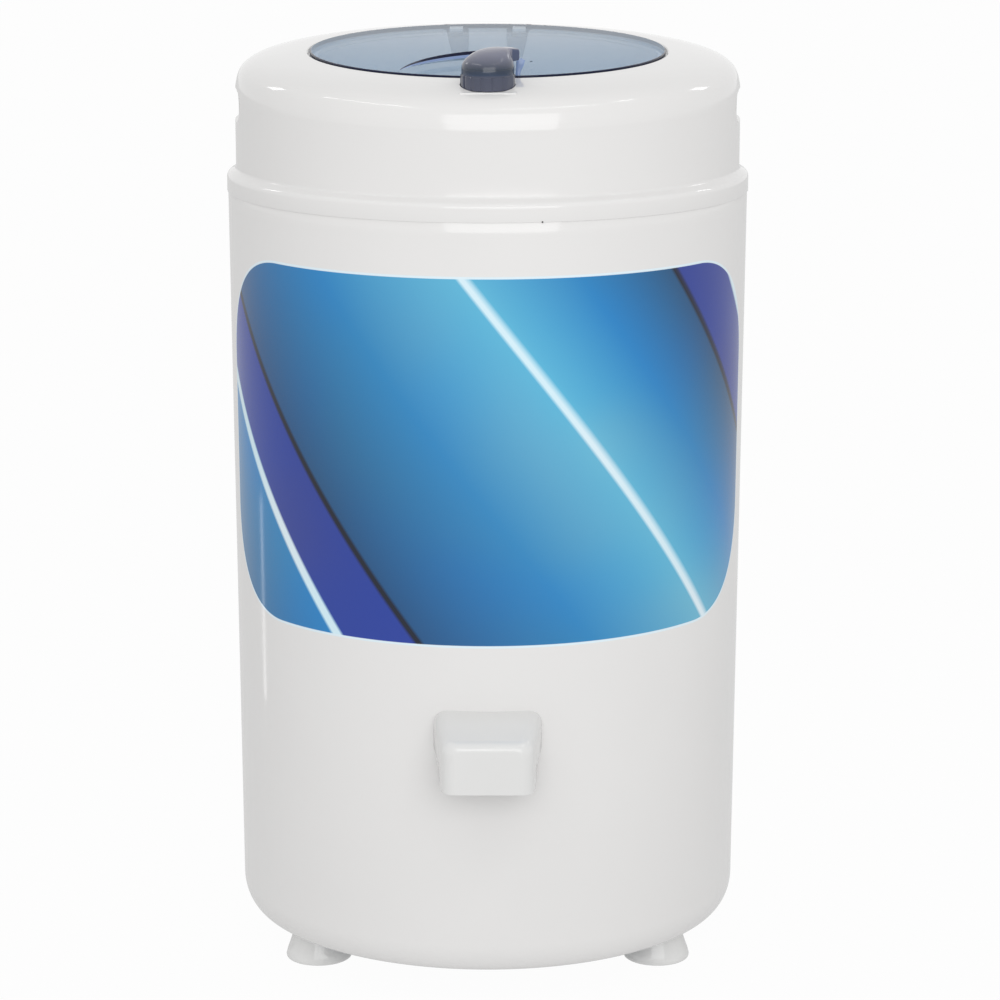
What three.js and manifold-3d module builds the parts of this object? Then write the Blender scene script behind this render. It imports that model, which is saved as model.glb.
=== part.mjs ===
// Laundry spin dryer: a tapered round cabinet on three feet, a moulded top cover with a tinted lid and a
// turning knob, a drain spout at the front, and inside it a tub, a perforated spin drum and a sprung motor.
// Millimetres, +Z up, front towards -Y. The origin lies on the floor, below the middle of the whole outline.
import * as THREE from 'three';
import { mergeVertices } from 'three/addons/utils/BufferGeometryUtils.js';
import Module from 'manifold-3d';

const wasm = await Module();
wasm.setup();

// ---- driving dimensions ----
const COVER_R = 187; // widest radius, the skirt of the top cover
const SPOUT_FRONT = 223; // reach of the spout in front of the cabinet's axis
const AXIS_Y = (SPOUT_FRONT - COVER_R) / 2; // the cabinet's axis, behind the middle of the outline
const SHELL_SIDES = 40;
const TUB_SIDES = 32;
const DRUM_SIDES = 36;
const TURNED_SIDES = 16;
const GAP = 0.3; // between pieces that touch

const CASE_BOTTOM = 25.4;
const CASE_LIP_R = 170.6;
const CASE_FOOT_R = 182.1;
const CASE_TOP_R = 186.3;
const CASE_ROUND_TOP = 47.4; // where the rounded bottom edge ends
const CASE_WALL = 2.5;
const SEAM_Z = 558.1; // lower edge of the top cover's skirt
const CASE_RIM_Z = 568; // top edge of the cabinet, inside the skirt

const LID_Z = 657.1; // middle of the lid's upper face
const LID_TILT = 0.056; // the lid and its deck rise towards the rear
const LID_R = 127;
const LID_THICK = 3;
const MOUTH_R = 121;
const REBATE_R = 128.4;
const DECK_Z = 655.3; // deck beside the lid, before the tilt
const COLLAR_BOTTOM = 600;
const NECK_LOW = 600; // the tilt grows from nothing here
const NECK_HIGH = 634; // to its full value here

const KNOB_Y = -146.2; // knob axis, on the tilted deck
const KNOB_R = 18.5;
const KNOB_BASE = -4.8; // lower edge of the knob, measured from the lid's upper face
const KNOB_SKIRT = 9.4;
const KNOB_TOP = 22;
const BEAK_ANGLE = THREE.MathUtils.degToRad(33); // where the knob's beak points when the lid is free
const BEAK_REACH = 22.4;

const HINGE_X = 23.5; // lid knuckles, left and right of the middle
const HINGE_Y = 132;
const HINGE_Z = -4;
const PIN_R = 1.5;
const KNUCKLE_R = 2.9;

const FOOT_CIRCLE = 142.8;
const FOOT_HEIGHT = 28;
const FOOT_ANGLES = [90, 210, 330];

const TUB_R = 158;
const TUB_WALL = 2.5;
const DRAIN_Y = -135;
const DRAIN_Z = 202;
const DRUM_R = 125.3;
const DRUM_WALL = 1.5;
const DRUM_FLOOR = 256;
const DRUM_TOP = 590;
const SHAFT_R = 8;

const MOTOR_R = 68;
const PLATFORM_Z = 84;
const PLATFORM_THICK = 4;
const SPRING_CIRCLE = 95;
const SPRING_R = 11.5;
const SPRING_WIRE_R = 1.8;
const SPRING_CURLS = 3;
const PAN_Z = 28.3;
const PAN_THICK = 3;
const BRAKE_R = 35;
const BRAKE_PIVOT = [50, -42];

// ---- solids ----
function closed(geometry) {
  geometry.deleteAttribute('normal');
  geometry.deleteAttribute('uv');
  const merged = mergeVertices(geometry, 1e-4);
  const place = merged.attributes.position;
  const old = merged.index.array;
  const triangles = [];
  const a = new THREE.Vector3();
  const b = new THREE.Vector3();
  const c = new THREE.Vector3();
  let volume = 0;
  for (let i = 0; i < old.length; i += 3) {
    const [p, q, r] = [old[i], old[i + 1], old[i + 2]];
    if (p === q || q === r || r === p) continue;
    triangles.push(p, q, r);
    a.fromBufferAttribute(place, p);
    b.fromBufferAttribute(place, q);
    c.fromBufferAttribute(place, r);
    volume += a.dot(b.cross(c));
  }
  if (volume < 0) triangles.reverse();
  merged.setIndex(triangles);
  return merged;
}

function solid(geometry) {
  const whole = closed(geometry);
  const vertProperties = new Float32Array(whole.attributes.position.array);
  const triVerts = new Uint32Array(whole.index.array);
  return new wasm.Manifold(new wasm.Mesh({ numProp: 3, vertProperties, triVerts }));
}

function geometryOf(body) {
  const mesh = body.getMesh();
  const geometry = new THREE.BufferGeometry();
  const places = new Float32Array(mesh.vertProperties);
  geometry.setAttribute('position', new THREE.BufferAttribute(places, 3));
  geometry.setIndex(Array.from(mesh.triVerts));
  return geometry;
}

function joined(first, ...others) {
  return others.reduce((sum, other) => sum.add(other), first);
}

function cut(body, ...tools) {
  return tools.reduce((rest, tool) => rest.subtract(tool), body);
}

function turnedGeometry(profile, sides) {
  const points = profile.map(([r, z]) => new THREE.Vector2(r, z));
  return new THREE.LatheGeometry(points, sides).rotateX(Math.PI / 2);
}

// A ring section, given as a closed loop of [radius, height]
function ring(profile, sides) {
  return solid(turnedGeometry([...profile, profile[0]], sides));
}

// A full round, its profile running from the axis to the axis
function round(profile, sides) {
  return solid(turnedGeometry(profile, sides));
}

function block(x0, x1, y0, y1, z0, z1) {
  const box = new THREE.BoxGeometry(x1 - x0, y1 - y0, z1 - z0);
  return solid(box.translate((x0 + x1) / 2, (y0 + y1) / 2, (z0 + z1) / 2));
}

function rod(r, z0, z1, x = 0, y = 0, sides = 10) {
  const bar = new THREE.CylinderGeometry(r, r, z1 - z0, sides).rotateX(Math.PI / 2);
  return solid(bar.translate(x, y, (z0 + z1) / 2));
}

function rodAlongX(r, x0, x1, y, z, sides = 10) {
  const bar = new THREE.CylinderGeometry(r, r, x1 - x0, sides).rotateZ(Math.PI / 2);
  return solid(bar.translate((x0 + x1) / 2, y, z));
}

function rodAlongY(r, y0, y1, x, z, sides = 10) {
  const bar = new THREE.CylinderGeometry(r, r, y1 - y0, sides);
  return solid(bar.translate(x, (y0 + y1) / 2, z));
}

function prism(corners, z0, z1) {
  const shape = new THREE.Shape(corners.map(([x, y]) => new THREE.Vector2(x, y)));
  const bar = new THREE.ExtrudeGeometry(shape, { depth: z1 - z0, bevelEnabled: false });
  return solid(bar.translate(0, 0, z0));
}

// A tube along a path, hollow when a bore is given
function tube(path, r, bore, steps, sides) {
  const shape = new THREE.Shape();
  shape.absarc(0, 0, r, 0, 2 * Math.PI);
  if (bore) shape.holes.push(new THREE.Path().absarc(0, 0, bore, 0, 2 * Math.PI, true));
  const settings = { steps, extrudePath: path, bevelEnabled: false, curveSegments: sides };
  return solid(new THREE.ExtrudeGeometry(shape, settings));
}

// A skin through rings of points, closed with a flat fan at each end
function loft(rings) {
  const count = rings[0].length;
  const places = rings.flat(2);
  const triangles = [];
  for (let k = 0; k + 1 < rings.length; k++) {
    for (let i = 0; i < count; i++) {
      const j = (i + 1) % count;
      const low = k * count;
      const high = low + count;
      triangles.push(low + i, low + j, high + j, low + i, high + j, high + i);
    }
  }
  const last = (rings.length - 1) * count;
  for (let i = 1; i + 1 < count; i++) {
    triangles.push(0, i + 1, i, last, last + i, last + i + 1);
  }
  const geometry = new THREE.BufferGeometry();
  geometry.setAttribute('position', new THREE.Float32BufferAttribute(places, 3));
  geometry.setIndex(triangles);
  return solid(geometry);
}

// A rounded rectangle of points in two dimensions
function roundedRectangle(x0, x1, y0, y1, r, steps) {
  const corners = [
    [x1 - r, y1 - r, 0],
    [x0 + r, y1 - r, 1],
    [x0 + r, y0 + r, 2],
    [x1 - r, y0 + r, 3],
  ];
  const points = [];
  for (const [x, y, quarter] of corners) {
    for (let i = 0; i <= steps; i++) {
      const angle = (quarter + i / steps) * Math.PI / 2;
      points.push([x + r * Math.cos(angle), y + r * Math.sin(angle)]);
    }
  }
  return points;
}

function polar(radius, degrees) {
  const angle = THREE.MathUtils.degToRad(degrees);
  return [radius * Math.cos(angle), radius * Math.sin(angle)];
}

// ---- the scene graph ----
const dryer = new THREE.Group();
dryer.position.y = AXIS_Y;
const deck = new THREE.Group(); // its plane is the lid's upper face
deck.position.z = LID_Z;
deck.rotation.x = LID_TILT;
dryer.add(deck);

const FINISH = {
  white: [0xe4e3e2, 0.25, 0],
  lid: [0xa3b6c8, 0.1, 0],
  knob: [0x5b6377, 0.25, 0],
  grey: [0xc9cace, 0.4, 0],
  steel: [0xb9bcc0, 0.3, 1],
  stainless: [0xc7c9cb, 0.25, 1],
  cast: [0x8f9296, 0.5, 0.8],
  copper: [0xb0683a, 0.4, 0.8],
  rubber: [0x26282a, 0.8, 0],
  black: [0x1d1e20, 0.5, 0],
};

function add(group, name, body, finish) {
  const [color, roughness, metalness] = FINISH[finish];
  const material = new THREE.MeshStandardMaterial({ color, roughness, metalness });
  const mesh = new THREE.Mesh(geometryOf(body), material);
  mesh.name = name;
  group.add(mesh);
}

// ---- cabinet ----
function quarterRound(cx, cz, rx, rz, steps) {
  const points = [];
  for (let i = 0; i <= steps; i++) {
    const angle = (i / steps) * Math.PI / 2;
    points.push([cx + rx * Math.sin(angle), cz - rz * Math.cos(angle)]);
  }
  return points;
}

function outerCasing() {
  const height = CASE_ROUND_TOP - CASE_BOTTOM;
  const width = CASE_FOOT_R - CASE_LIP_R;
  const outside = quarterRound(CASE_LIP_R, CASE_ROUND_TOP, width, height, 3);
  const inside = quarterRound(CASE_LIP_R, CASE_ROUND_TOP, width - CASE_WALL, height - CASE_WALL, 2);
  const profile = [
    [CASE_LIP_R - 12, CASE_BOTTOM],
    ...outside,
    [CASE_TOP_R, SEAM_Z - 0.5],
    [184, SEAM_Z - GAP],
    [184, CASE_RIM_Z],
    [181.4, CASE_RIM_Z],
    [181.4, SEAM_Z - 2.4],
    [CASE_TOP_R - CASE_WALL, SEAM_Z - 5],
    ...inside.reverse(),
    [CASE_LIP_R - 12, CASE_BOTTOM + CASE_WALL],
  ];
  const spoutWindow = block(-38.2, 38.2, -195, -165, 184.6, 219);
  const cordHole = rodAlongY(9, 170, 195, 0, 75);
  return cut(ring(profile, SHELL_SIDES), spoutWindow, cordHole);
}

function basePan() {
  const top = PAN_Z + PAN_THICK;
  const disc = round([[0, PAN_Z], [169, PAN_Z], [169, top + 5], [166, top + 5], [166, top], [0, top]], 24);
  const slots = [];
  for (let i = 0; i < 9; i++) {
    const slot = new THREE.BoxGeometry(42, 8, 10).translate(49, 0, PAN_Z + 1);
    slots.push(solid(slot.rotateZ((i + 0.5) * Math.PI / 4.5)));
  }
  return cut(disc, ...slots);
}

function foot(x, y) {
  const profile = [
    [0, 7], [9, 7], [9, 0], [16.4, 0], [19.2, 1.4], [20, 4.2],
    [16.2, 14.5], [14, 22], [13.5, FOOT_HEIGHT], [0, FOOT_HEIGHT],
  ];
  return solid(turnedGeometry(profile, TURNED_SIDES).translate(x, y, 0));
}

// ---- top cover ----
// The upper part leans with the lid's deck; the neck below it takes up the lean
function lean(geometry) {
  const place = geometry.attributes.position;
  for (let i = 0; i < place.count; i++) {
    const z = place.getZ(i);
    const share = THREE.MathUtils.clamp((z - NECK_LOW) / (NECK_HIGH - NECK_LOW), 0, 1);
    place.setZ(i, z + place.getY(i) * Math.tan(LID_TILT) * share);
  }
  return geometry;
}

// A solid given on the tilted deck, brought to the dryer's own frame
function fromDeck(body) {
  const turn = new THREE.Matrix4().makeRotationX(LID_TILT).setPosition(0, 0, LID_Z);
  return solid(geometryOf(body).applyMatrix4(turn));
}

function gripPocket(side, margin, inner, outer) {
  const [low, high, half, corner] = [609.5 - margin, 629 + margin, 32 + margin, 7 + margin];
  const outline = roundedRectangle(-half, half, low, high, corner, 3);
  return loft([inner, outer].map((x) => outline.map(([y, z]) => [side * x, y, z])));
}

function topCover() {
  const shoulder = [
    [181.7, 627], [180.5, 636], [177, 643.8], [170.5, 648.5], [161, 651.7], [147, 654], [REBATE_R, DECK_Z],
  ];
  const rebateFloor = LID_Z - LID_THICK - GAP;
  const profile = [
    [184.3, SEAM_Z], [COVER_R, SEAM_Z], [COVER_R, 570], [185.3, 575], [181.7, 577.2],
    ...shoulder,
    [REBATE_R, rebateFloor], [MOUTH_R, rebateFloor], [MOUTH_R, 650.4],
    [146, 651], [163, 647.6], [173.4, 642], [178, 633], [179, 577.4], [184.3, 571.8],
  ];
  const shell = solid(lean(turnedGeometry([...profile, profile[0]], SHELL_SIDES)));
  const knobPad = joined(block(-19.2, 19.2, -166, -146, -9, -5.1), rod(9, -11, -5.1, 0, KNOB_Y));
  const knobSeat = rod(19.6, -5.1, 12, 0, KNOB_Y, 24);
  const knobBore = rod(4.6, -20, 0, 0, KNOB_Y);
  let cover = joined(shell, fromDeck(knobPad));
  for (const side of [-1, 1]) {
    cover = cover.add(gripPocket(side, 2.5, 163.5, 184).intersect(rod(180.6, 600, 640, 0, 0, SHELL_SIDES)));
    cover = cover.subtract(gripPocket(side, 0, 166, 195));
  }
  return cut(cover, fromDeck(joined(knobSeat, knobBore)), ...hingeSlots());
}

function hingeSlots() {
  const spans = [-HINGE_X, HINGE_X].map((x) => [x - 9.5, x + 9.5]);
  return spans.map(([x0, x1]) => fromDeck(block(x0, x1, 117, 138.5, -26, 12)));
}

// The wall under the deck round the mouth, notched for the lock cam's finger
function mouthCollar() {
  const [inner, outer, top] = [MOUTH_R, MOUTH_R + 3, 650.1];
  const profile = [
    [inner, COLLAR_BOTTOM], [outer, COLLAR_BOTTOM], [outer, top - 3.4],
    [outer + 3, top - 3.4], [outer + 3, top], [inner, top],
  ];
  const collar = solid(lean(turnedGeometry([...profile, profile[0]], SHELL_SIDES)));
  const lockNotch = fromDeck(block(-6, 27, -126, -116, -70, -11.5));
  return cut(collar, lockNotch, ...hingeSlots());
}

// ---- lid and its hinge, on the deck ----
function lidPanel() {
  const edge = [[LID_R, -LID_THICK], [LID_R, -0.7], [LID_R - 0.7, 0]];
  const disc = round([[0, -LID_THICK], ...edge, [0, 0]], SHELL_SIDES);
  const catchRoot = block(-14, 16, -118.6, -113, -12, -1);
  const tab = loft([
    [[19.6, -124, -1], [24.8, -124, -1], [24.8, -119, -1], [19.6, -119, -1]],
    [[20.2, -122.9, 4.5], [24.4, -122.9, 4.5], [24.4, -120, 4.5], [20.2, -120, 4.5]],
    [[21.2, -123, 7.6], [24.6, -123, 7.6], [24.6, -121, 7.6], [21.2, -121, 7.6]],
  ]);
  let lid = joined(disc, catchRoot, tab);
  for (const side of [-1, 1]) {
    const [x0, x1] = [side * HINGE_X - 4.9, side * HINGE_X + 4.9];
    const arm = block(x0, x1, 120, HINGE_Y, HINGE_Z - 1.6, -1.6);
    const knuckle = rodAlongX(KNUCKLE_R, x0, x1, HINGE_Y, HINGE_Z);
    lid = lid.add(arm).add(knuckle).subtract(rodAlongX(PIN_R + GAP, x0 - 1, x1 + 1, HINGE_Y, HINGE_Z));
  }
  return lid;
}

function hingeBracket(side) {
  const x = side * HINGE_X;
  let bracket = joined(
    block(x - 9, x + 9, 121.6, 125.6, -24, -9.5),
    block(x - 9, x + 9, 124, 137, -12, -9.4),
  );
  for (const [x0, x1] of [[x - 15.5, x - 5.3], [x + 5.3, x + 15.5]]) {
    bracket = bracket.add(block(x0, x1, 127.5, 137, -9.5, -7.4));
  }
  for (const [x0, x1] of [[x - 9, x - 5.3], [x + 5.3, x + 9]]) {
    bracket = bracket.add(block(x0, x1, HINGE_Y - KNUCKLE_R, HINGE_Y + KNUCKLE_R, -9.5, HINGE_Z));
    bracket = bracket.add(rodAlongX(KNUCKLE_R, x0, x1, HINGE_Y, HINGE_Z));
  }
  return bracket.subtract(rodAlongX(PIN_R + GAP, x - 12, x + 12, HINGE_Y, HINGE_Z));
}

function lidCatch() {
  return joined(
    block(-10, -7, -118.6, -113, -22, -12.3),
    block(-10, 12, -118.6, -113, -22, -19),
  );
}

// ---- knob and what it works, on the deck ----
const KNOB_PLATE_POSTS = [[-38, -136], [44, -134]];

function knobRing(height, radius, shift, sides) {
  const points = [];
  for (let i = 0; i < sides; i++) {
    const angle = (i / sides) * 2 * Math.PI;
    const x = radius * Math.cos(angle) + shift * Math.cos(BEAK_ANGLE);
    const y = radius * Math.sin(angle) + shift * Math.sin(BEAK_ANGLE);
    points.push([x, KNOB_Y + y, height]);
  }
  return points;
}

function flutedSkirt(z0, z1) {
  const corners = [];
  const flutes = 15;
  for (let i = 0; i < flutes; i++) {
    const turn = 2 * Math.PI / flutes;
    for (const [share, radius] of [[0.1, KNOB_R], [0.6, KNOB_R], [0.85, KNOB_R - 0.7]]) {
      const angle = (i + share) * turn;
      corners.push([radius * Math.cos(angle), KNOB_Y + radius * Math.sin(angle)]);
    }
  }
  return prism(corners, z0, z1);
}

function beak() {
  const along = [Math.cos(BEAK_ANGLE), Math.sin(BEAK_ANGLE)];
  const section = (reach, half, low, high) => roundedRectangle(-half, half, low, high, 1.2, 1).map(
    ([side, z]) => [along[0] * reach - along[1] * side, KNOB_Y + along[1] * reach + along[0] * side, z],
  );
  return loft([
    section(6, 6, 11.5, 20.8), section(12, 6, 12.6, 21),
    section(18, 5.4, 13.8, 20.8), section(BEAK_REACH, 4.8, 14.6, 20),
  ]);
}

function knobDome(margin) {
  const rings = [
    [KNOB_BASE + KNOB_SKIRT - 0.4, 17.9, 0], [8.7, 18, 0.2], [12.9, 16.9, 0.5], [16.8, 14.2, 2.1],
    [19.7, 11.2, 4.5], [21.4, 7, 7], [KNOB_TOP, 3, 8.6],
  ];
  return loft(rings.map(([height, radius, shift]) => knobRing(height, radius + margin, shift, 18)));
}

function knobCap() {
  const hollow = round([[0, -6], [16, -6], [16, 3], [12, 6], [0, 6]], TURNED_SIDES).translate(0, KNOB_Y, 0);
  const socket = rod(7, KNOB_BASE + 2, 8, 0, KNOB_Y);
  const body = cut(joined(flutedSkirt(KNOB_BASE, KNOB_BASE + KNOB_SKIRT), knobDome(0)), hollow);
  return cut(body.add(socket), rod(4 + GAP, -8, 6, 0, KNOB_Y));
}

// The squared beak, set against the dome's side
function knobPointer() {
  return cut(beak(), knobDome(GAP));
}

function knobShaft() {
  return rod(4, -44, 5.6, 0, KNOB_Y);
}

function lockCam() {
  const finger = new THREE.BoxGeometry(34, 8, 3).translate(17, 0, 0);
  finger.rotateZ(THREE.MathUtils.degToRad(10)).translate(0, KNOB_Y, -14.5);
  return cut(joined(rod(8, -19.4, -13, 0, KNOB_Y), solid(finger)), rod(4 + GAP, -30, -5, 0, KNOB_Y));
}

function switchCam() {
  const lobe = new THREE.BoxGeometry(11.2, 5, 4).translate(5.6, 0, 0);
  lobe.rotateZ(THREE.MathUtils.degToRad(-80)).translate(0, KNOB_Y, -22);
  return cut(joined(rod(9, -24, -20, 0, KNOB_Y, 24), solid(lobe)), rod(4 + GAP, -30, -5, 0, KNOB_Y));
}

function cableArm() {
  const arm = joined(
    rod(7, -34, -28, 0, KNOB_Y),
    block(-20, 0, KNOB_Y - 4, KNOB_Y + 4, -32, -29),
    rod(4, -32, -29, -20, KNOB_Y),
  );
  return cut(arm, rod(4 + GAP, -40, -20, 0, KNOB_Y), rod(1.4, -40, -20, -20, KNOB_Y, 8));
}

function knobPlate() {
  const outline = [[-45, -129], [-45, -146], [-20, -168], [51, -168], [51, -129]];
  const posts = KNOB_PLATE_POSTS.map(([x, y]) => rod(4, -37, -6.8, x, y, 12));
  return cut(joined(prism(outline, -39, -36.5), ...posts), rod(4 + GAP, -45, -30, 0, KNOB_Y));
}

function microSwitch() {
  const body = block(22, 44, -154, -138.4, -36.2, -18);
  return body.subtract(rodAlongX(1.8 + GAP, 20, 29, KNOB_Y, -22, 12));
}

// ---- tub, drain and spout ----
function tub() {
  const outer = TUB_R + TUB_WALL;
  const shell = ring([
    [40, 228], [150, 223], [157, 226], [outer, 233], [outer, CASE_RIM_Z + GAP], [183.2, CASE_RIM_Z + GAP],
    [183.2, 570.8], [TUB_R, 570.8], [TUB_R, 234], [151, 226.2], [43, 231.2], [43, 246], [40, 246],
  ], TUB_SIDES);
  const nozzle = rod(9, 219.5, 225.5, 0, DRAIN_Y);
  return cut(shell.add(nozzle), rod(6.8, 210, 240, 0, DRAIN_Y), rod(3.8, 560, 580, ...CABLE_DROP));
}

function tubCover() {
  return ring([
    [158.2, 574.2], [164, 574.2], [164, 577], [161.4, 577.5], [128.8, 604], [128.8, 610],
    [126.2, 610], [126.2, 602.6],
  ], TUB_SIDES);
}

function drainElbow() {
  const bend = 20;
  const path = new THREE.CurvePath();
  const start = new THREE.Vector3(0, DRAIN_Y, DRAIN_Z + bend + 1);
  const turn = new THREE.Vector3(0, DRAIN_Y, DRAIN_Z + bend);
  const level = new THREE.Vector3(0, DRAIN_Y - bend, DRAIN_Z);
  const end = new THREE.Vector3(0, -185, DRAIN_Z);
  path.add(new THREE.LineCurve3(start, turn));
  const arc = new THREE.CubicBezierCurve3(
    turn,
    new THREE.Vector3(0, DRAIN_Y, DRAIN_Z + bend * 0.448),
    new THREE.Vector3(0, DRAIN_Y - bend * 0.552, DRAIN_Z),
    level,
  );
  path.add(arc);
  path.add(new THREE.LineCurve3(level, end));
  return tube(path, 13, 10.6, 9, 5);
}

function spoutRing(y, inset, drop) {
  const reach = Math.max(-183 - y, 0);
  const half = 37.4 - 0.165 * reach - inset;
  const top = 218.4 - 0.33 * reach - inset;
  const low = 185.3 - 0.45 * reach + inset - drop;
  return roundedRectangle(-half, half, low, top, Math.max(9 - inset, 3), 2).map(([x, z]) => [x, y, z]);
}

function outletSpout() {
  const skin = 2.2;
  const outside = loft([
    spoutRing(-177, 0, 0), spoutRing(-183, 0, 0), spoutRing(-214, 0, 0), spoutRing(-219, 0.9, 0),
    spoutRing(-222, 2.6, 0), spoutRing(-SPOUT_FRONT, 5, 0),
  ]);
  const inside = loft([
    spoutRing(-170, skin, 0), spoutRing(-183, skin, 0), spoutRing(-214, skin, 0),
    spoutRing(-218, skin + 1, 0), spoutRing(-220.6, skin + 3, 0),
  ]);
  const openBottom = loft([
    spoutRing(-186, skin, 25), spoutRing(-214, skin, 25), spoutRing(-218, skin + 0.8, 25),
    spoutRing(-220.6, skin + 1.6, 25),
  ]);
  const window = block(-46, 46, -190, -160, 176, 228);
  const flange = ring([[177.2, 176], [179.8, 176], [179.8, 228], [177.2, 228]], 96).intersect(window);
  const level = block(-60, 60, -230, -160, 100, 170.4);
  return cut(joined(outside, flange), inside, openBottom, level);
}

// ---- brake cable, held all the way from the knob to the brake ----
const CABLE_DROP = [-52, -162];
const CABLE_ROUTE = [
  [-30, -157, 617], [-38, -158.5, 616], [-46, -160.5, 610], [-51, -162, 598], [...CABLE_DROP, 580],
  [...CABLE_DROP, 420], [...CABLE_DROP, 240], [...CABLE_DROP, 130], [-52.3, -160, 100], [-53, -150, 80],
  [-54, -130, 69], [-54, -106, 66.5], [-54, -84, 66.5],
];

function brakeCable() {
  const stops = CABLE_ROUTE.map((p) => new THREE.Vector3(...p));
  const path = new THREE.CatmullRomCurve3(stops, false, 'centripetal');
  return tube(path, 2.5, 0, 24, 3);
}

function cableStop() {
  const stop = joined(block(-62, -46, -84, -81, 33, 72), block(-62, -46, -84, -70, 31.6, 34));
  return cut(stop, rodAlongY(3, -90, -75, -54, 66.5, 10));
}

// ---- motor unit on its springs ----
function motorPlatform() {
  const top = PLATFORM_Z + PLATFORM_THICK;
  let plate = rod(74, PLATFORM_Z, top, 0, 0, TURNED_SIDES);
  for (const degrees of FOOT_ANGLES) {
    const [x, y] = polar(SPRING_CIRCLE, degrees);
    const arm = new THREE.BoxGeometry(SPRING_CIRCLE, 34, PLATFORM_THICK).translate(SPRING_CIRCLE / 2, 0, 0);
    arm.rotateZ(THREE.MathUtils.degToRad(degrees)).translate(0, 0, PLATFORM_Z + PLATFORM_THICK / 2);
    plate = joined(plate, solid(arm), rod(17, PLATFORM_Z, top, x, y));
    plate = plate.add(rod(8, PLATFORM_Z - 6, PLATFORM_Z, x, y, 8));
  }
  return cut(plate, rod(12, 80, 92));
}

function lowerShield() {
  const z = PLATFORM_Z + PLATFORM_THICK + GAP;
  return ring([
    [10, z], [60, z], [66, z + 3.2], [MOTOR_R, z + 9], [MOTOR_R, 117.7], [64.5, 117.7], [64.5, z + 10],
    [59, z + 6.2], [24, z + 6.2], [24, 106], [20.3, 106], [20.3, z + 4], [10, z + 4],
  ], TURNED_SIDES);
}

function upperShield() {
  return ring([
    [64.5, 160.3], [MOTOR_R, 160.3], [MOTOR_R, 183], [64, 189],
    [30, 197], [25.5, 201], [25.5, 226], [11, 226],
    [11, 219.3], [20.3, 219.3], [20.3, 200.5], [28, 193.5], [60, 186], [64.5, 180.5],
  ], TURNED_SIDES);
}

function hollowRing(inner, outer, z0, z1, sides = TURNED_SIDES) {
  return ring([[inner, z0], [outer, z0], [outer, z1], [inner, z1]], sides);
}

function shaftBellows() {
  return ring([
    [27, 213], [29, 213], [29, 221], [33, 223], [33, 229], [39.6, 235], [39.6, 245],
    [37.4, 245], [37.4, 236], [31, 231], [31, 225], [27, 223],
  ], 12);
}

function springSeat(x, y) {
  const profile = [[0, 31.6], [17, 31.6], [17, 38], [14.6, 38], [14.6, 34.4], [8, 34.4], [8, 41], [0, 41]];
  return solid(turnedGeometry(profile, 12).translate(x, y, 0));
}

// One unbroken wire; its curls stay clear of each other by the pitch less the wire
function coilSpring(x, y) {
  const [low, high] = [34.7 + SPRING_WIRE_R, PLATFORM_Z - GAP - SPRING_WIRE_R];
  const [sides, steps] = [5, 8 * SPRING_CURLS];
  const rings = [];
  for (let k = 0; k <= steps; k++) {
    const turn = (k / 8) * 2 * Math.PI;
    const z = low + (high - low) * k / steps;
    const section = [];
    for (let i = 0; i < sides; i++) {
      const angle = -(i / sides) * 2 * Math.PI;
      const r = SPRING_R + SPRING_WIRE_R * Math.cos(angle);
      section.push([x + r * Math.cos(turn), y + r * Math.sin(turn), z + SPRING_WIRE_R * Math.sin(angle)]);
    }
    rings.push(section);
  }
  return loft(rings);
}

// ---- brake ----
function brakeDrum() {
  const [inner, z0, z1] = [SHAFT_R + GAP, 60, 76];
  return ring([
    [inner, z0], [BRAKE_R, z0], [BRAKE_R, z1], [31, z1], [31, 66], [14, 66], [14, z1], [inner, z1],
  ], TURNED_SIDES);
}

function brakeLever() {
  const [px, py] = BRAKE_PIVOT;
  const arm = joined(
    block(-54, px, py - 4, py + 4, 64, 70),
    rod(9, 64, 70, px, py),
    rod(5, 64, 70, -54, py, 12),
  );
  return cut(arm, rod(4 + GAP, 60, 75, px, py), rod(1.6, 60, 75, -54, py, 8));
}

function brakeShoe() {
  return block(-13, 13, -37.7, -32, 62, 74).subtract(rod(BRAKE_R + GAP, 55, 80, 0, 0, 48));
}

function brakePivot() {
  const [x, y] = BRAKE_PIVOT;
  return joined(rod(4, 60, PLATFORM_Z - GAP, x, y), rod(7, 60, 63.6, x, y));
}

// ---- spin drum ----
function drumShaft() {
  return round([[0, 56], [SHAFT_R, 56], [SHAFT_R, 249], [7, 250], [7, 296], [0, 296]], TURNED_SIDES);
}

function drumWall() {
  const inner = DRUM_R - DRUM_WALL;
  const shell = hollowRing(inner, DRUM_R, DRUM_FLOOR + 2.8, DRUM_TOP, DRUM_SIDES);
  const [rows, columns] = [5, 12];
  const holes = [];
  for (let row = 0; row < rows; row++) {
    for (let column = 0; column < columns; column++) {
      const degrees = (column + (row % 2) / 2) * 360 / columns;
      const hole = new THREE.CylinderGeometry(4, 4, 12, 6).rotateZ(Math.PI / 2).translate(DRUM_R, 0, 0);
      hole.rotateZ(THREE.MathUtils.degToRad(degrees)).translate(0, 0, DRUM_FLOOR + 50 + row * 56);
      holes.push(solid(hole));
    }
  }
  return cut(shell, ...holes);
}

function drumFloor() {
  return ring([
    [7.3, 250.3], [24, 250.3], [28, DRUM_FLOOR], [121, DRUM_FLOOR], [122.9, DRUM_FLOOR + 2.4],
    [122.9, DRUM_FLOOR + 6], [42, DRUM_FLOOR + 6.6], [30, DRUM_FLOOR + 15], [22, 291.8], [7.3, 291.8],
  ], 24);
}

function drumRim() {
  return ring([
    [106, 578], [122.9, 578], [122.9, DRUM_TOP + GAP], [126.4, DRUM_TOP + GAP], [126.4, 593],
    [108, 593], [104, 589],
  ], 24);
}

function drumNut() {
  return round([[0, 296.4], [7.3, 296.4], [7.3, 292.2], [14, 292.2], [14, 301], [8, 306], [0, 307]], 12);
}

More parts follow.
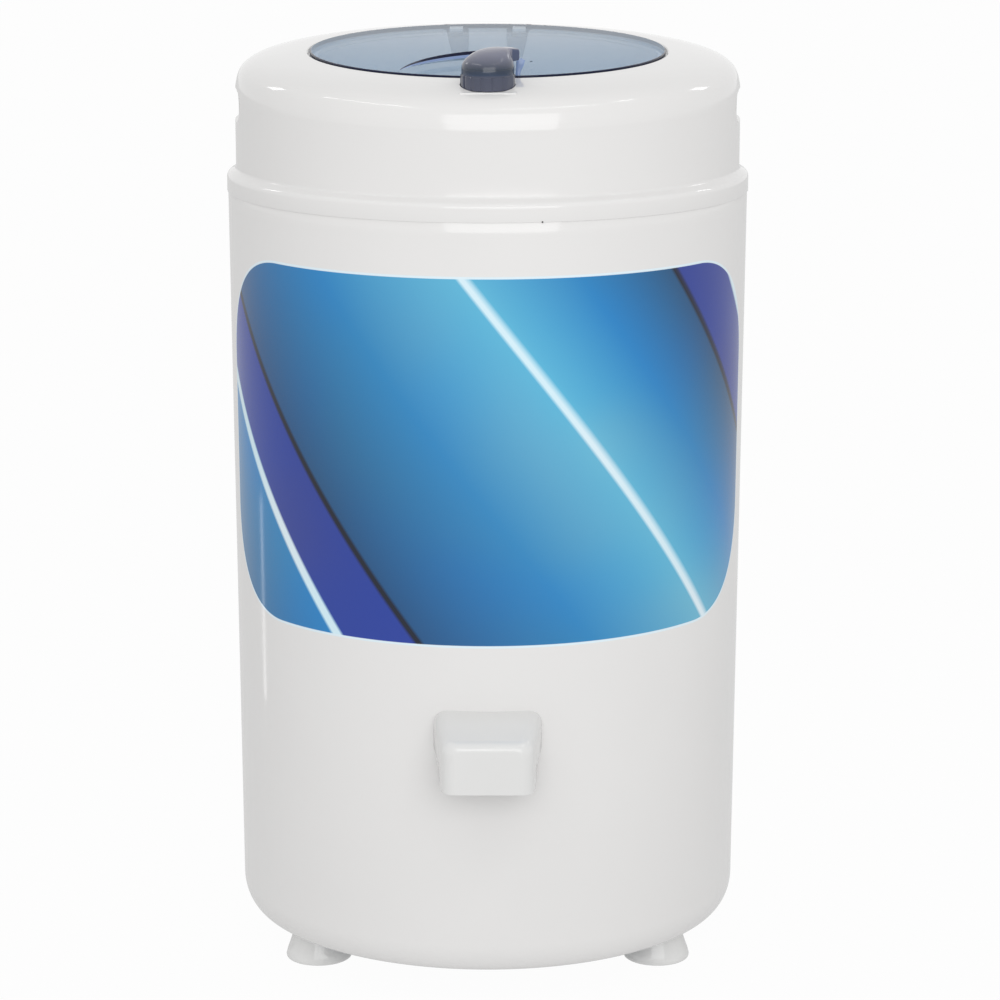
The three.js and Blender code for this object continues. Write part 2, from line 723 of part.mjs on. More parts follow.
// ---- assembly ----
function addCabinet() {
  add(dryer, 'outer_casing', outerCasing(), 'white');
  add(dryer, 'top_cover', topCover(), 'white');
  add(dryer, 'mouth_collar', mouthCollar(), 'white');
  add(dryer, 'base_pan', basePan(), 'steel');
  FOOT_ANGLES.forEach((degrees, i) => {
    add(dryer, `foot_${i + 1}`, foot(...polar(FOOT_CIRCLE, degrees)), 'white');
    add(dryer, `spring_seat_${i + 1}`, springSeat(...polar(SPRING_CIRCLE, degrees)), 'black');
  });
  add(dryer, 'run_capacitor', rod(20, 31.6, 96, 104, 62, TURNED_SIDES), 'black');
  const flanges = [rodAlongY(12, 182.7, 186.5, 0, 75), rodAlongY(12, 173, 177.5, 0, 75)];
  const gland = joined(rodAlongY(8.6, 174, 186, 0, 75), ...flanges);
  add(dryer, 'cord_gland', gland.subtract(rodAlongY(3.7, 160, 200, 0, 75, 12)), 'black');
}

function addWetParts() {
  add(dryer, 'tub', tub(), 'grey');
  add(dryer, 'tub_seal', hollowRing(158.6, 163.4, 571.1, 573.9, 24), 'rubber');
  add(dryer, 'tub_cover', tubCover(), 'grey');
  add(dryer, 'drain_elbow', drainElbow(), 'rubber');
  add(dryer, 'outlet_spout', outletSpout(), 'white');
  add(dryer, 'shaft_bellows', shaftBellows(), 'rubber');
}

function addLid() {
  add(deck, 'lid', lidPanel(), 'lid');
  add(deck, 'lid_catch', lidCatch(), 'grey');
  for (const [name, side] of [['left', -1], ['right', 1]]) {
    add(deck, `hinge_bracket_${name}`, hingeBracket(side), 'grey');
    const x = side * HINGE_X;
    add(deck, `hinge_pin_${name}`, rodAlongX(PIN_R, x - 8.8, x + 8.8, HINGE_Y, HINGE_Z, 12), 'steel');
  }
}

function addKnobWorks() {
  add(deck, 'knob', knobCap(), 'knob');
  add(deck, 'knob_pointer', knobPointer(), 'knob');
  add(deck, 'knob_shaft', knobShaft(), 'grey');
  add(deck, 'lock_cam', lockCam(), 'steel');
  add(deck, 'switch_cam', switchCam(), 'grey');
  add(deck, 'cable_arm', cableArm(), 'steel');
  add(deck, 'knob_plate', knobPlate(), 'steel');
  add(deck, 'micro_switch', microSwitch(), 'black');
  add(deck, 'switch_plunger', rodAlongX(1.8, 9.6, 24, KNOB_Y, -22, 12), 'grey');
  add(dryer, 'brake_cable', brakeCable(), 'black');
  add(dryer, 'cable_stop', cableStop(), 'steel');
}

function addMotorUnit() {
  add(dryer, 'motor_platform', motorPlatform(), 'steel');
  add(dryer, 'motor_lower_shield', lowerShield(), 'cast');
  add(dryer, 'motor_upper_shield', upperShield(), 'cast');
  add(dryer, 'stator_core', hollowRing(44, 66, 118, 160), 'steel');
  add(dryer, 'stator_winding_lower', hollowRing(46, 60, 107, 117.7, 16), 'copper');
  add(dryer, 'stator_winding_upper', hollowRing(46, 60, 160.3, 172, 16), 'copper');
  add(dryer, 'bearing_lower', hollowRing(SHAFT_R + GAP, 20, 93, 105.5, 16), 'steel');
  add(dryer, 'bearing_upper', hollowRing(SHAFT_R + GAP, 20, 206, 219, 16), 'steel');
  FOOT_ANGLES.forEach((degrees, i) => {
    add(dryer, `suspension_spring_${i + 1}`, coilSpring(...polar(SPRING_CIRCLE, degrees)), 'steel');
  });
  add(dryer, 'brake_pivot', brakePivot(), 'steel');
  add(dryer, 'brake_lever', brakeLever(), 'steel');
  add(dryer, 'brake_shoe', brakeShoe(), 'rubber');
}

function addSpinDrum() {
  add(dryer, 'drum_wall', drumWall(), 'stainless');
  add(dryer, 'drum_floor', drumFloor(), 'grey');
  add(dryer, 'drum_rim', drumRim(), 'grey');
  add(dryer, 'drum_nut', drumNut(), 'grey');
  add(dryer, 'drum_shaft', drumShaft(), 'steel');
  add(dryer, 'rotor_core', hollowRing(SHAFT_R + GAP, 42, 119, 159), 'steel');
  add(dryer, 'brake_drum', brakeDrum(), 'cast');
}

addCabinet();
addWetParts();
addLid();
addKnobWorks();
addMotorUnit();
addSpinDrum();

export default dryer;
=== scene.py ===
"""A round laundry spin dryer: its finish, smooth shells, camera and light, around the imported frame."""

import math

import bmesh
import bpy
from mathutils import Matrix, Vector


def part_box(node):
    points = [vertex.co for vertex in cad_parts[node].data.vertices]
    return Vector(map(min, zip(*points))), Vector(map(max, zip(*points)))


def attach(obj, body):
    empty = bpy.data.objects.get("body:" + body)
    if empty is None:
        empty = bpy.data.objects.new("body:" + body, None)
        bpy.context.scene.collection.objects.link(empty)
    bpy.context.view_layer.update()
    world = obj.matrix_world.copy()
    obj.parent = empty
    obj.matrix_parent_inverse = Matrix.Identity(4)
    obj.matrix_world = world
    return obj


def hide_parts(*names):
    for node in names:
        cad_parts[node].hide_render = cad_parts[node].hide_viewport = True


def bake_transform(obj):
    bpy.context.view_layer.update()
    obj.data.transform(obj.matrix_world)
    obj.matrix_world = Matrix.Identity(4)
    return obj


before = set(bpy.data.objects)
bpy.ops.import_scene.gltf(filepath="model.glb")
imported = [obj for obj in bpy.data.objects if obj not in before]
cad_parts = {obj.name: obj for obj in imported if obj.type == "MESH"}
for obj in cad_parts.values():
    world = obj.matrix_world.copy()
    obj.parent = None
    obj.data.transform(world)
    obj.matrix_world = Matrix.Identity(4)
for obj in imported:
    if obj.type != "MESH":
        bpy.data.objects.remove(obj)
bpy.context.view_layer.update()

# ---- driving values, in millimetres and degrees ----
MM = 0.001
COVER_LOW, COVER_HIGH = (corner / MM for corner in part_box("top_cover"))
AXIS_Y = (COVER_LOW.y + COVER_HIGH.y) / 2  # the cabinet's axis in the row frame
COVER_R = (COVER_HIGH.x - COVER_LOW.x) / 2
SEAM_Z = COVER_LOW.z  # lower edge of the cover's skirt
SPOUT_FRONT = AXIS_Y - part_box("outlet_spout")[0].y / MM
CASE_FOOT_R, CASE_TOP_R, CASE_LIP_R = 182.1, 186.3, 168.6  # the last is where its lower edge rounds in
CASE_BOTTOM, CASE_ROUND_TOP, CASE_SKIN = 25.4, 47.4, 2.5
COLLAR_R, SKIRT_INSIDE = 184.0, 184.3  # the casing's upper collar, and the cover's skirt round it
LEDGE_Z = 571.7  # ledge between the cover's skirt and its neck
NECK_R, NECK_INSIDE = 180.5, 178.0
LEAN_START, LEAN_RISE = 600, 34  # heights over which the neck takes up the lean
MOUTH_R, REBATE_R = 121.0, 128.4  # the opening, and the step that the lid lies in
SEAM_GAP = 0.07  # between the casing and the cover's skirt
CRISP = 0.15  # radius of the edges that meet at the seam
LID_TILT = math.radians(3.2086)
LID_Z = 657.1  # middle of the lid's upper face
LID_R, LID_THICK = 127.0, 3.0
HINGE_X, HINGE_Y, HINGE_Z = 23.5, 132.0, -4.0  # the pins, on the tilted deck
KNOB_Y = -146.2  # on the tilted deck, from the cabinet's axis
KNOB_R, KNOB_BASE, KNOB_HEIGHT = 18.5, -4.8, 27.0
BEAK_ANGLE = math.radians(33)
DRUM_R, DRUM_FLOOR, DRUM_TOP = 125.3, 256.0, 590.0
TUB_R = 160.5
DRAIN_Y = -135  # the tub's drain, from the axis
THIRDS = (90, 210, 330)  # where the feet and the springs stand; the first is at the rear
FOOT_CIRCLE, SPRING_CIRCLE = 142.8, 95.0
SIDES, TUB_SIDES = 240, 144  # around the large shells, and around the tub and its rings
SHARP = 35  # degrees between two faces that stay an edge
ON_AXIS = 1e-6  # a radius below this counts as none

TO_ROW = Matrix.Translation((0, AXIS_Y * MM, 0)) @ Matrix.Scale(MM, 4)
DECK_TO_ROW = TO_ROW @ Matrix.Translation((0, 0, LID_Z)) @ Matrix.Rotation(LID_TILT, 4, "X")


# ---- outlines ----
def on_circle(r, degrees):
    angle = math.radians(degrees)
    return r * math.cos(angle), r * math.sin(angle)


def arc(cx, cz, rx, rz, start, end, steps):
    """Points on an ellipse from one angle to another, in degrees."""
    angles = [math.radians(start + (end - start) * i / steps) for i in range(steps + 1)]
    return [(cx + rx * math.cos(a), cz + rz * math.sin(a)) for a in angles]


def curve_through(points, steps):
    """A smooth curve through the points, with that many steps between neighbours."""
    known = [Vector(p) for p in points]
    known = [2 * known[0] - known[1], *known, 2 * known[-1] - known[-2]]
    found = []
    for a, b, c, d in zip(known, known[1:], known[2:], known[3:]):
        for k in range(steps):
            t = k / steps
            bend = (2 * a - 5 * b + 4 * c - d) * t * t + (3 * b - a - 3 * c + d) * t**3
            found.append(b + ((c - a) * t + bend) / 2)
    return [tuple(p) for p in [*found, known[-2]]]


def rounded_rectangle(x0, x1, y0, y1, r, steps):
    points = arc(x1 - r, y0 + r, r, r, -90, 0, steps)
    points += arc(x1 - r, y1 - r, r, r, 0, 90, steps)
    points += arc(x0 + r, y1 - r, r, r, 90, 180, steps)
    return points + arc(x0 + r, y0 + r, r, r, 180, 270, steps)


# ---- meshes ----
def add_object(name, data):
    obj = bpy.data.objects.new(name, data)
    bpy.context.scene.collection.objects.link(obj)
    return obj


def mesh_piece(name, points, faces, place=TO_ROW):
    mesh = bpy.data.meshes.new(name)
    mesh.from_pydata(points, [], faces)
    mesh.transform(place)
    mesh.validate()
    return add_object(name, mesh)


def turned(name, profile, sides=96, place=TO_ROW, centre=(0, 0)):
    """A profile of (radius, height) points turned about an upright axis, with its faces outward.

    A point on the axis becomes one vertex. A profile that starts off the axis is closed back to its start.
    """
    columns, points = [], []
    for r, z in profile:
        count = 1 if r < ON_AXIS else sides
        columns.append([len(points) + i % count for i in range(sides)])
        for i in range(count):
            angle = 2 * math.pi * i / sides
            points.append((centre[0] + r * math.cos(angle), centre[1] + r * math.sin(angle), z))
    rows = list(zip(columns, columns[1:]))
    if profile[0][0] > ON_AXIS:
        rows.append((columns[-1], columns[0]))
    faces = []
    for low, high in rows:
        for i in range(sides):
            j = (i + 1) % sides
            face = list(dict.fromkeys([low[i], low[j], high[j], high[i]]))
            if len(face) > 2:
                faces.append(face)
    obj = mesh_piece(name, points, faces, place)
    point_outward(obj)
    return obj


def lofted(name, rings, place=TO_ROW):
    """A closed solid through rings of points, all with the same count, capped at both ends."""
    n = len(rings[0])
    points = [p for ring in rings for p in ring]
    faces = [list(range(n))[::-1], [(len(rings) - 1) * n + i for i in range(n)]]
    for k in range(len(rings) - 1):
        for i in range(n):
            j = (i + 1) % n
            faces.append([k * n + i, k * n + j, (k + 1) * n + j, (k + 1) * n + i])
    obj = mesh_piece(name, points, faces, place)
    point_outward(obj)
    return obj


def point_outward(obj):
    """Turns a closed mesh's faces outward, by the sign of its volume."""
    mesh = obj.data
    mesh.calc_loop_triangles()
    volume = 0.0
    for triangle in mesh.loop_triangles:
        a, b, c = (mesh.vertices[i].co for i in triangle.vertices)
        volume += a.dot(b.cross(c))
    if volume < 0:
        mesh.flip_normals()


def block(name, x0, x1, y0, y1, z0, z1, place=TO_ROW):
    rings = [[(x0, y0, z), (x1, y0, z), (x1, y1, z), (x0, y1, z)] for z in (z0, z1)]
    return lofted(name, rings, place)


def rod(name, r, z0, z1, x=0, y=0, sides=96, place=TO_ROW):
    return turned(name, [(0, z0), (r, z0), (r, z1), (0, z1)], sides, place, (x, y))


def evaluated_mesh(obj):
    """A new mesh of the object as its modifiers, or its curve's settings, make it."""
    depsgraph = bpy.context.evaluated_depsgraph_get()
    return bpy.data.meshes.new_from_object(obj.evaluated_get(depsgraph))


def swept(name, path, r, sides):
    """A round tube along a path, given as points close together."""
    curve = bpy.data.curves.new(name, "CURVE")
    curve.dimensions = "3D"
    curve.bevel_depth = r
    curve.bevel_resolution = sides // 4
    curve.use_fill_caps = True
    spline = curve.splines.new("POLY")
    spline.points.add(len(path) - 1)
    for point, place_at in zip(spline.points, path):
        point.co = (*place_at, 1)
    holder = add_object(name, curve)
    mesh = evaluated_mesh(holder)
    bpy.data.objects.remove(holder)
    bpy.data.curves.remove(curve)
    mesh.transform(TO_ROW)
    mesh.name = name
    weld(mesh)
    obj = add_object(name, mesh)
    point_outward(obj)
    return obj


def weld(mesh):
    """Joins the vertices that lie within a hundredth of a millimetre."""
    work = bmesh.new()
    work.from_mesh(mesh)
    bmesh.ops.remove_doubles(work, verts=work.verts, dist=0.01 * MM)
    work.to_mesh(mesh)
    work.free()


def settle(obj):
    """Turns the piece's modifiers into its mesh."""
    mesh = evaluated_mesh(obj)
    obj.modifiers.clear()
    old, obj.data = obj.data, mesh
    name = old.name
    bpy.data.meshes.remove(old)
    mesh.name = name


def combine(obj, others, operation):
    """Adds, cuts away or intersects other solids, which are used up."""
    for other in others:
        step = obj.modifiers.new(operation, "BOOLEAN")
        step.operation = operation
        step.solver = "MANIFOLD"
        step.object = other
    settle(obj)
    for other in others:
        bpy.data.objects.remove(other)


def thicken(obj, thickness):
    """Gives a sheet a wall of that thickness, on the side away from its normals."""
    step = obj.modifiers.new("Wall", "SOLIDIFY")
    step.thickness = thickness * MM
    step.offset = -1
    step.use_even_offset = True


def round_edges(obj, width):
    step = obj.modifiers.new("Edges", "BEVEL")
    step.width = width * MM
    step.segments = 3
    step.limit_method = "ANGLE"
    step.angle_limit = math.radians(SHARP)
    settle(obj)


def give_look(obj, look, angle=SHARP):
    """One material, and smooth shading up to an angle."""
    obj.data.shade_smooth()
    obj.data.set_sharp_from_angle(angle=math.radians(angle))
    obj.data.materials.clear()
    obj.data.materials.append(LOOKS[look])


def dress(obj, body, look, replaces=(), angle=SHARP):
    """Gives a finished piece its look and body, and hides the nodes that it replaces."""
    give_look(obj, look, angle)
    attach(obj, body)
    if replaces:
        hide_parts(*replaces)


def second_look(obj, look, faces):
    """Gives some of its faces another material."""
    obj.data.materials.append(LOOKS[look])
    for face in faces:
        face.material_index = 1


# ---- materials ----
def linear(*srgb):
    """A colour as it is seen, 0 to 255, as the shader takes it."""
    return tuple((c / 255 / 12.92 if c < 11 else ((c / 255 + 0.055) / 1.055) ** 2.4) for c in srgb)


class Nodes:
    """A node tree, and short ways to add to it."""

    def __init__(self, tree):
        self.tree = tree

    def node(self, kind, *values, **settings):
        """Adds a node, with values or links for its first inputs."""
        node = self.tree.nodes.new(kind)
        for key, value in settings.items():
            setattr(node, key, value)
        for value, socket in zip(values, node.inputs):
            self.link(value, socket)
        return node

    def link(self, value, socket):
        if isinstance(value, bpy.types.NodeSocket):
            self.tree.links.new(value, socket)
        else:
            socket.default_value = value

    def math(self, operation, *values):
        return self.node("ShaderNodeMath", *values, operation=operation).outputs[0]

    def mixed_shader(self, share, first, second, target):
        self.link(self.node("ShaderNodeMixShader", share, first, second).outputs[0], target)


class Finish(Nodes):
    """A material with its main shader, and the steps that its looks are made of."""

    COLOUR_SPAN = (0.35, 0.65)  # the part of a noise that drives a colour
    GLOSS_SPAN = (0.3, 0.7)  # the part of a noise that drives a roughness

    def __init__(self, name, colour, roughness, **sockets):
        self.material = bpy.data.materials.new(name)
        self.material.use_nodes = True
        super().__init__(self.material.node_tree)
        self.shader = self.tree.nodes["Principled BSDF"]
        self.output = self.tree.nodes["Material Output"].inputs["Surface"]
        self.shader.inputs["Base Color"].default_value = (*colour, 1)
        self.shader.inputs["Roughness"].default_value = roughness
        for socket, value in sockets.items():
            self.shader.inputs[socket.replace("_", " ")].default_value = value
        self.colour = colour
        self.coordinates = self.node("ShaderNodeTexCoord").outputs["Object"]

    def axes(self):
        """The place on the piece as three numbers, in metres."""
        return self.node("ShaderNodeSeparateXYZ", self.coordinates).outputs

    def stretched(self, x, y, z):
        node = self.node("ShaderNodeMapping", self.coordinates)
        node.inputs["Scale"].default_value = (x, y, z)
        return node.outputs[0]

    def noise(self, scale, detail, coordinates=None):
        node = self.node("ShaderNodeTexNoise", coordinates or self.coordinates)
        node.inputs["Scale"].default_value = scale
        node.inputs["Detail"].default_value = detail
        return node.outputs["Fac"]

    def between(self, value, from_low, from_high, low, high, curve="LINEAR"):
        """Maps a value from one range to another, and holds it there."""
        bounds = (from_low, from_high, low, high)
        return self.node("ShaderNodeMapRange", value, *bounds, interpolation_type=curve).outputs[0]

    def mix(self, share, a, b, blend="MIX"):
        """A colour between a and b; the mix node's colours are its inputs 6 and 7 and its output 2."""
        node = self.node("ShaderNodeMix", share, data_type="RGBA", blend_type=blend)
        for value, socket in ((a, node.inputs[6]), (b, node.inputs[7])):
            self.link((*value, 1) if isinstance(value, tuple) else value, socket)
        return node.outputs[2]

    def ramp(self, value, wanted):
        """The colour at a value from 0 to 1, by (place, colour as it is seen) stops."""
        node = self.node("ShaderNodeValToRGB", value)
        stops = node.color_ramp.elements
        while len(stops) < len(wanted):
            stops.new(1.0)
        for stop, (place, colour) in zip(stops, wanted):
            stop.position = place
            stop.color = (*linear(*colour), 1)
        return node.outputs[0]

    def set_colour(self, value):
        self.link(value, self.shader.inputs["Base Color"])
        return self

    def set_roughness(self, amount, low, high):
        self.link(self.between(amount, *self.GLOSS_SPAN, low, high), self.shader.inputs["Roughness"])

    def vary_colour(self, scale, other):
        """Drifts slowly between the base colour and another."""
        amount = self.between(self.noise(scale, 3), *self.COLOUR_SPAN, 0, 1)
        return self.set_colour(self.mix(amount, self.colour, other))

    def vary_roughness(self, scale, low, high):
        self.set_roughness(self.noise(scale, 3), low, high)

    def bump(self, height, strength, distance):
        """Raises the surface by a height that runs from 0 to 1, distance in millimetres."""
        node = self.node("ShaderNodeBump")
        node.inputs["Strength"].default_value = strength
        node.inputs["Distance"].default_value = distance * MM
        self.link(height, node.inputs["Height"])
        self.link(node.outputs[0], self.shader.inputs["Normal"])
        return self


def moulded(name, colour, roughness, spread, peel, drift=None, **sockets):
    """Moulded plastic: a faint orange peel, gloss that drifts a little, and a colour that may drift too."""
    finish = Finish(name, colour, roughness, **sockets)
    finish.vary_roughness(9, roughness - spread, roughness + spread)
    finish.bump(finish.noise(340, 2), peel, 0.02)
    if drift:
        finish.vary_colour(*drift)
    return finish


def brushed(name, colour, roughness, stretch, darker):
    """Sheet metal with fine lines along one way."""
    finish = Finish(name, colour, roughness, Metallic=1.0)
    lines = finish.noise(60, 4, finish.stretched(*stretch))
    finish.set_colour(finish.mix(lines, colour, darker))
    finish.set_roughness(lines, roughness - 0.08, roughness + 0.1)
    return finish.bump(lines, 0.15, 0.03)


def cast(name, colour, roughness):
    """Cast or blasted metal: grainy, with dull spots."""
    finish = Finish(name, colour, roughness, Metallic=1.0)
    finish.vary_colour(40, tuple(c * 0.75 for c in colour))
    finish.vary_roughness(90, roughness - 0.1, roughness + 0.15)
    return finish.bump(finish.noise(900, 3), 0.4, 0.08)


def layered(name, colour, other, pitch, metallic, roughness):
    """Stacked sheets or wound wire: fine level lines."""
    finish = Finish(name, colour, roughness, Metallic=metallic)
    height = finish.axes()["Z"]
    wave = finish.math("SINE", finish.math("MULTIPLY", height, 2 * math.pi / (pitch * MM)))
    ridge = finish.between(wave, -1, 1, 0, 1)
    # The troughs take the darker colour: painted shade between turns of wire, and the dark joints between
    # stacked sheets.
    finish.set_colour(finish.mix(ridge, other, colour))
    return finish.bump(ridge, 0.6, pitch * 0.3)


WHITE = linear(229, 228, 227)
SHELL_ROUGHNESS = 0.085


def white_shell(name):
    return moulded(name, WHITE, SHELL_ROUGHNESS, 0.03, 0.12, (5, tuple(c * 0.975 for c in WHITE)))


# ---- the printed panel on the front: slanted bands in blues ----
PRINT_MIDDLE_Z = 392.5
PRINT_HALF_WIDTH = 243.0  # along the curved wall, to each side
PRINT_HALF_HEIGHT = 129.0
PRINT_CORNER = 76.0
PRINT_SLANT = math.radians(38)
PRINT_EDGE = 1.6  # pale line round the panel
PRINT_SOFT = 0.2  # half the width over which its outlines blend
PRINT_GLOW = (84, 176, 212)  # soft light in patches
DEEP, BRIGHT, TEAL, PALE = (46, 64, 148), (42, 132, 188), (36, 84, 124), (106, 182, 210)
LINE, INK = (222, 238, 246), (22, 26, 40)
# Each band: its far edge across the slant, and its colours from one edge to the other
BANDS = [
    (-170, TEAL, BRIGHT), (-163, LINE, LINE), (-118, DEEP, DEEP), (-114, INK, INK), (-20, TEAL, BRIGHT),
    (62, BRIGHT, PALE), (68, LINE, LINE), (128, PALE, BRIGHT), (186, BRIGHT, TEAL), (190, INK, INK),
    (236, DEEP, DEEP), (243, LINE, LINE), (300, BRIGHT, PALE),
]
BAND_START, BAND_END = -300, BANDS[-1][0]
BAND_BLEND = 0.0004  # between two bands, as a share of the ramp on each side


def band_ramp(finish, across):
    """The bands' colours, by the distance across the slant."""
    stops, edge = [], BAND_START
    span = BAND_END - BAND_START
    for far, near_colour, far_colour in BANDS:
        stops.append(((edge - BAND_START) / span + BAND_BLEND, near_colour))
        stops.append(((far - BAND_START) / span - BAND_BLEND, far_colour))
        edge = far
    return finish.ramp(finish.between(across, BAND_START, BAND_END, 0, 1), stops)


def printed_shell():
    """The white shell with the bands inside a rounded rectangle that is wrapped round its front."""
    finish = white_shell("white_shell_printed")
    x, y, z = (finish.math("DIVIDE", out, MM) for out in finish.axes())
    front = finish.math("SUBTRACT", AXIS_Y, y)
    turn = finish.math("ARCTAN2", x, front)
    along = finish.math("MULTIPLY", turn, (CASE_FOOT_R + CASE_TOP_R) / 2)
    up = finish.math("SUBTRACT", z, PRINT_MIDDLE_Z)
    over = []
    for value, half in ((along, PRINT_HALF_WIDTH), (up, PRINT_HALF_HEIGHT)):
        over.append(finish.math("SUBTRACT", finish.math("ABSOLUTE", value), half - PRINT_CORNER))
    outside = [finish.math("MAXIMUM", value, 0) for value in over]
    squares = [finish.math("MULTIPLY", value, value) for value in outside]
    corner = finish.math("SQRT", finish.math("ADD", *squares))
    inner = finish.math("MINIMUM", finish.math("MAXIMUM", *over), 0)
    distance = finish.math("SUBTRACT", finish.math("ADD", corner, inner), PRINT_CORNER)
    shares = ((along, math.cos(PRINT_SLANT)), (up, math.sin(PRINT_SLANT)))
    across = finish.math("ADD", *[finish.math("MULTIPLY", way, share) for way, share in shares])
    bands = band_ramp(finish, across)
    glow = finish.between(finish.noise(7, 1), 0.4, 0.68, 0, 0.5, "SMOOTHSTEP")
    ink = finish.mix(glow, bands, linear(*PRINT_GLOW), "SOFT_LIGHT")
    edge = finish.between(distance, -PRINT_EDGE - PRINT_SOFT, -PRINT_EDGE + PRINT_SOFT, 0, 1)
    ink = finish.mix(edge, ink, linear(*LINE))
    inside = finish.between(distance, -PRINT_SOFT, PRINT_SOFT, 1, 0)
    shell = finish.shader.inputs["Base Color"].links[0].from_socket
    finish.set_colour(finish.mix(inside, shell, ink))
    return finish


def tinted(name, colour, clear, roughness, through, **sockets):
    """Tinted plastic, see-through by transmission or by alpha. Shadow rays have a tint of their own."""
    finish = Finish(name, colour, roughness, IOR=1.49, Transmission_Weight=clear, **sockets)
    finish.vary_roughness(14, roughness * 0.7, roughness * 1.3)
    finish.bump(finish.noise(120, 1), 0.03, 0.03)
    see = finish.node("ShaderNodeBsdfTransparent", (*through, 1))
    shadow = finish.node("ShaderNodeLightPath").outputs["Is Shadow Ray"]
    finish.mixed_shader(shadow, finish.shader.outputs[0], see.outputs[0], finish.output)
    return finish


def knob_tint_and_painted_light():
    """Smoky plastic: grey on the skirt; on the dome, painted shade makes its foot deep blue and painted light
    makes it paler towards its top.
    """
    finish = tinted("knob_tint", linear(112, 120, 146), 0.35, 0.14, linear(90, 98, 120))
    base = LID_Z + KNOB_Y * math.sin(LID_TILT) + KNOB_BASE
    rise = finish.between(finish.axes()["Z"], base * MM, (base + KNOB_HEIGHT) * MM, 0, 1)
    # By height: painted shade low on the dome, painted light higher up.
    return finish.set_colour(finish.ramp(rise, [
        (0, (96, 100, 120)), (0.33, (88, 94, 114)), (0.36, (58, 74, 100)), (0.5, (54, 66, 84)),
        (0.66, (108, 112, 130)), (0.85, (142, 144, 162)), (1, (156, 157, 174)),
    ]))


GREY = linear(201, 202, 206)
FINISHES = {
    "printed": printed_shell(),
    "white": white_shell("white_shell"),
    "small_white": moulded("white_parts", linear(226, 226, 225), 0.1, 0.03, 0.1, (8, linear(222, 222, 221))),
    "lid": tinted("lid_tint", linear(134, 177, 214), 0, 0.03, linear(232, 242, 248), Alpha=0.42),
    # Painted shade on the lid's edge and the rib's crest, and the dot's own dark colour.
    "lid_painted_shade_and_dot": moulded("lid_painted_shade_and_dot", linear(8, 16, 48), 0.16, 0.03, 0.05, Specular_IOR_Level=0.2),
    # On the rib's inner side this is a painted reflection; it is also the tab's colour.
    "lid_lilac": moulded("lid_lilac", linear(134, 156, 198), 0.15, 0.03, 0.05),
    "knob": knob_tint_and_painted_light(),
    # Painted shade on the knob's beak.
    "knob_tip_painted_shade": moulded("knob_tip_painted_shade", linear(70, 80, 108), 0.2, 0.04, 0.1),
    "knob_core": moulded("knob_core", linear(40, 52, 62), 0.3, 0.05, 0.1),
    "bracket": moulded("bracket_plastic", linear(120, 112, 112), 0.4, 0.05, 0.3, (12, linear(110, 104, 104))),
    "grey": moulded("grey_plastic", GREY, 0.38, 0.05, 0.3, (12, tuple(c * 0.93 for c in GREY))),
    "pale": moulded("pale_plastic", linear(222, 223, 224), 0.3, 0.05, 0.2, (10, linear(216, 217, 218))),
    "black": moulded("black_plastic", linear(34, 34, 36), 0.4, 0.07, 0.4, (20, linear(44, 44, 46))),
    "rubber": moulded("black_rubber", linear(38, 38, 40), 0.72, 0.08, 0.7, (25, linear(54, 54, 55))),
    "zinc": brushed("zinc_steel", linear(186, 189, 193), 0.32, (1, 1, 0.15), linear(150, 154, 160)),
    "stainless": brushed("drum_stainless", linear(206, 208, 210), 0.24, (0.3, 0.3, 6), linear(172, 175, 179)),
    "cast": cast("cast_aluminium", linear(160, 163, 168), 0.45),
    "copper": layered("winding_copper", linear(184, 104, 60), linear(96, 46, 24), 1.4, 0.85, 0.35),
    "laminated": layered("stator_sheets", linear(150, 152, 156), linear(84, 84, 88), 1.0, 0.9, 0.45),
}
LOOKS = {key: finish.material for key, finish in FINISHES.items()}
LOOK_OF_NODE = {
    "zinc": [
        "base_pan", "hinge_pin_left", "hinge_pin_right", "lock_cam", "cable_arm", "knob_plate", "cable_stop",
        "motor_platform", "brake_pivot", "brake_lever", "drum_shaft", "bearing_lower", "bearing_upper",
    ],
    "bracket": ["hinge_bracket_left", "hinge_bracket_right"],
    "grey": ["lid_catch", "knob_shaft", "switch_cam", "switch_plunger"],
    "black": [*[f"spring_seat_{i}" for i in (1, 2, 3)], "run_capacitor", "cord_gland", "micro_switch"],
    "rubber": ["brake_shoe"],
    "cast": ["motor_lower_shield", "motor_upper_shield", "brake_drum"],
    "copper": ["stator_winding_lower", "stator_winding_upper"],
    "laminated": ["stator_core", "rotor_core"],
}


def dress_frame():
    """Materials and edge shading for the frame's own nodes."""
    for look, names in LOOK_OF_NODE.items():
        for name in names:
            give_look(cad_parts[name], look)


